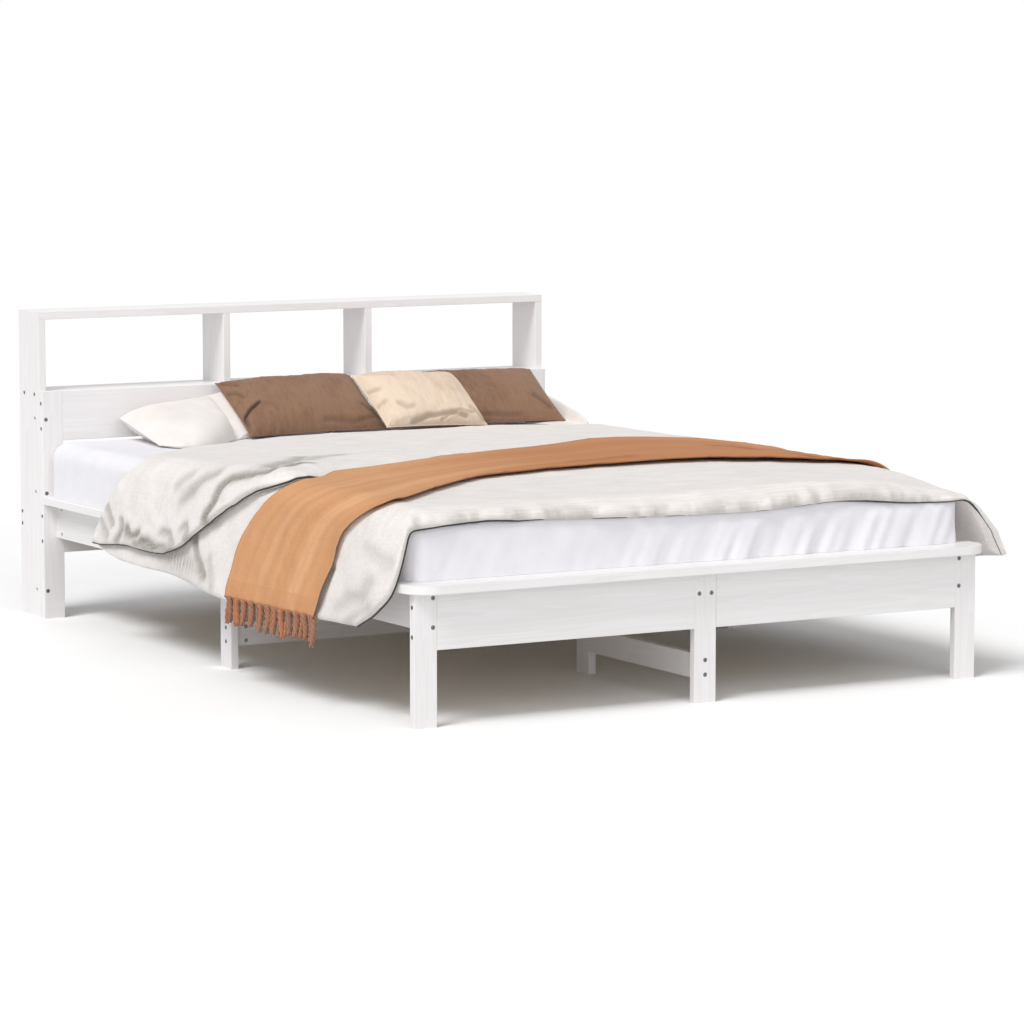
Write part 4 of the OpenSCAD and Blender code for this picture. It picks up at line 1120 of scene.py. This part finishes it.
def blow_up(objects):
    """Runs closed pieces as cloth under pressure and keeps the shape each ends in.

    No point moves further than the cap, so that each piece stays in its place.
    """
    for obj in objects:
        cloth = obj.modifiers.new("cloth", "CLOTH")
        for key, value in PUFFED.items():
            setattr(cloth.settings, key, value)
        cloth.settings.effector_weights.gravity = 0
        cloth.point_cache.frame_start = 1
        cloth.point_cache.frame_end = PUFF_FRAMES
    for frame_number in range(1, PUFF_FRAMES + 1):
        scene.frame_set(frame_number)
    graph = bpy.context.evaluated_depsgraph_get()
    for obj in objects:
        before = read_points(obj.data)
        move = read_points(obj.evaluated_get(graph).data) - before
        far = np.linalg.norm(move, axis=1, keepdims=True)
        move *= PUFF_CAP * np.tanh(far / PUFF_CAP) / np.maximum(far, 1e-9)
        obj.modifiers.remove(obj.modifiers["cloth"])
        obj.data.vertices.foreach_set("co", (before + move).reshape(-1))
        obj.data.update()
    scene.frame_set(1)


def refine(obj):
    """One subdivision, applied."""
    fine = obj.modifiers.new("fine", "SUBSURF")
    fine.levels = fine.render_levels = 1
    graph = bpy.context.evaluated_depsgraph_get()
    mesh = bpy.data.meshes.new_from_object(obj.evaluated_get(graph))
    obj.modifiers.remove(fine)
    obj.data = mesh


def crease_cushion(obj, place):
    """Presses the creases into a cushion's face, and stores painted shade in them."""
    points = upright(read_points(obj.data), *place)
    x, y, z = points.T
    depth, shade = creased(x, y, CUSHION_CREASES[obj.name.replace("_cover", "")], 0.0015)
    face = ease((z - 0.002) / 0.008)
    points[:, 2] += (layered(x * 70, y * 14, 91, 2) * 0.0008 - depth) * face
    obj.data.vertices.foreach_set("co", leaning(points, *place).reshape(-1))
    store(obj, "fold", shade * face)


def sew(obj, loop, material, slot, radius):
    """Seam round a cushion or pillow, along the line where its two faces meet."""
    path = read_points(obj.data)[loop]
    seam = tube(obj.name.replace("_cover", "_seam"), path, radius, closed=True, sides=6)
    dress(seam, material, slot)


# Studio

# The photograph's view, solved from the frame's edges: lens and sensor in millimetres
LENS = 147.94
SENSOR = 36
CAMERA_PLACE = (-5.1337, -9.1504, 1.5322)
CAMERA_TILT = math.radians(83.49)
CAMERA_TURN = -math.radians(29.78)
# Half the floor's width
FLOOR = 30.0
WORLD_LIGHT = 0.40
# Each sun's name, the way towards it, its strength and its angle in degrees
SUNS = [("key", (-0.55, -0.25, 0.80), 2.0, 24), ("front", (-0.28, -0.86, 0.42), 0.85, 50)]


def make_camera():
    """A long lens from the foot of the bed, towards its right."""
    data = bpy.data.cameras.new("camera")
    data.lens = LENS
    data.sensor_width = SENSOR
    data.clip_end = 60
    camera = placed("camera", data)
    camera.location = CAMERA_PLACE
    camera.rotation_euler = (CAMERA_TILT, 0, CAMERA_TURN)
    scene.camera = camera


def make_floor():
    """A floor that looks white and throws a little less light back."""
    corners = [(FLOOR * x, FLOOR * y, 0) for x, y in ((-1, -1), (1, -1), (1, 1), (-1, 1))]
    obj = new_object("floor", corners, [[0, 1, 2, 3]], smooth=False)
    m = Maker("studio_floor", 0.9, Specular_IOR_Level=0.0)
    seen = m.ramp(m.noise(m.coords(), 3.0, 2), [(0.0, FLOOR_WHITE), (1.0, WHITE)])
    m.colour(m.blend(m.looked_at(), rgb(FLOOR_GREY), seen))
    obj.data.materials.append(m.material)


def make_world():
    """Even light from all round, that looks plain white."""
    world = bpy.data.worlds.new("studio")
    scene.world = world
    world.use_nodes = True
    w = Nodes(world.node_tree)
    w.tree.nodes.clear()
    light, backdrop = (w.node("Background", Color=rgb(WHITE), Strength=strength).outputs[0]
                       for strength in (WORLD_LIGHT, 1.0))
    mix = w.fed(w.node("MixShader"), "Shader", w.looked_at(), light, backdrop)
    w.join(mix, w.node("OutputWorld").inputs["Surface"])


def make_sun(name, towards, strength, angle):
    """A lamp that lights everything evenly from the direction towards it."""
    data = bpy.data.lights.new(name, "SUN")
    data.energy = strength
    data.angle = math.radians(angle)
    lamp = placed(name, data)
    flat = math.hypot(towards[0], towards[1])
    lamp.rotation_euler = (math.atan2(flat, towards[2]), 0,
                           math.atan2(towards[0], -towards[1]))


def make_studio():
    make_camera()
    make_floor()
    make_world()
    for sun in SUNS:
        make_sun(*sun)
    scene.view_settings.view_transform = "Standard"


# The bed

make_studio()
finish_frame()

make_mattress(knit_material())
make_sheet(cotton("sheet_cotton", SHEET_WHITE, SHEET_SHADE, 2200, 60))
duvet_cotton, cord = duvet_material(), shadow_cord_material()
make_lower(duvet_cotton, cord)
make_turned(duvet_cotton, cord)
throw = make_throw(throw_material())
fringe = make_fringe(yarn_material())

ivory = cotton("pillow_cotton", PILLOW_IVORY, PILLOW_SHADE, 1800, 50)
brown = velvet("brown_velvet", CUSHION_BROWN, mixed(CUSHION_BROWN, BROWN_SHADE, 0.35))
beige = velvet("beige_velvet", CUSHION_BEIGE, mixed(CUSHION_BEIGE, BEIGE_SHADE, 0.4))
# Each cushion's width and height, thickness in front and behind, place across, up and
# forward on the slope with its turn and roll in degrees, and the depth of its corner pleats
cushions = [
    ("cushion_left", brown, "cushion_brown", (0.412, 0.244), (0.050, 0.007),
     (-0.066, 0.113, 0.008, 0, 1), 0.001),
    ("cushion_right", brown, "cushion_brown", (0.400, 0.244), (0.038, 0.007),
     (0.496, 0.113, 0.008, 0, -1), 0.001),
    ("cushion_center", beige, "cushion_beige", (0.316, 0.236), (0.048, 0.013),
     (0.258, 0.058, 0.048, 2, 0.5), 0.0025)]
padded = [make_cushion(*row) for row in cushions]
pillows = [make_pillow("pillow_left", ivory, LEFT_PLAN, False),
           make_pillow("pillow_right", ivory, RIGHT_PLAN, True)]
blow_up([obj for obj, loop in padded + pillows])
for (obj, loop), (_, look, slot, _, _, place, _) in zip(padded, cushions):
    refine(obj)
    crease_cushion(obj, place)
    sew(obj, loop, look, slot, CUSHION_SEAM_R)
for obj, loop in pillows:
    refine(obj)
    sew(obj, loop, ivory, "pillow_ivory", PILLOW_SEAM_R)
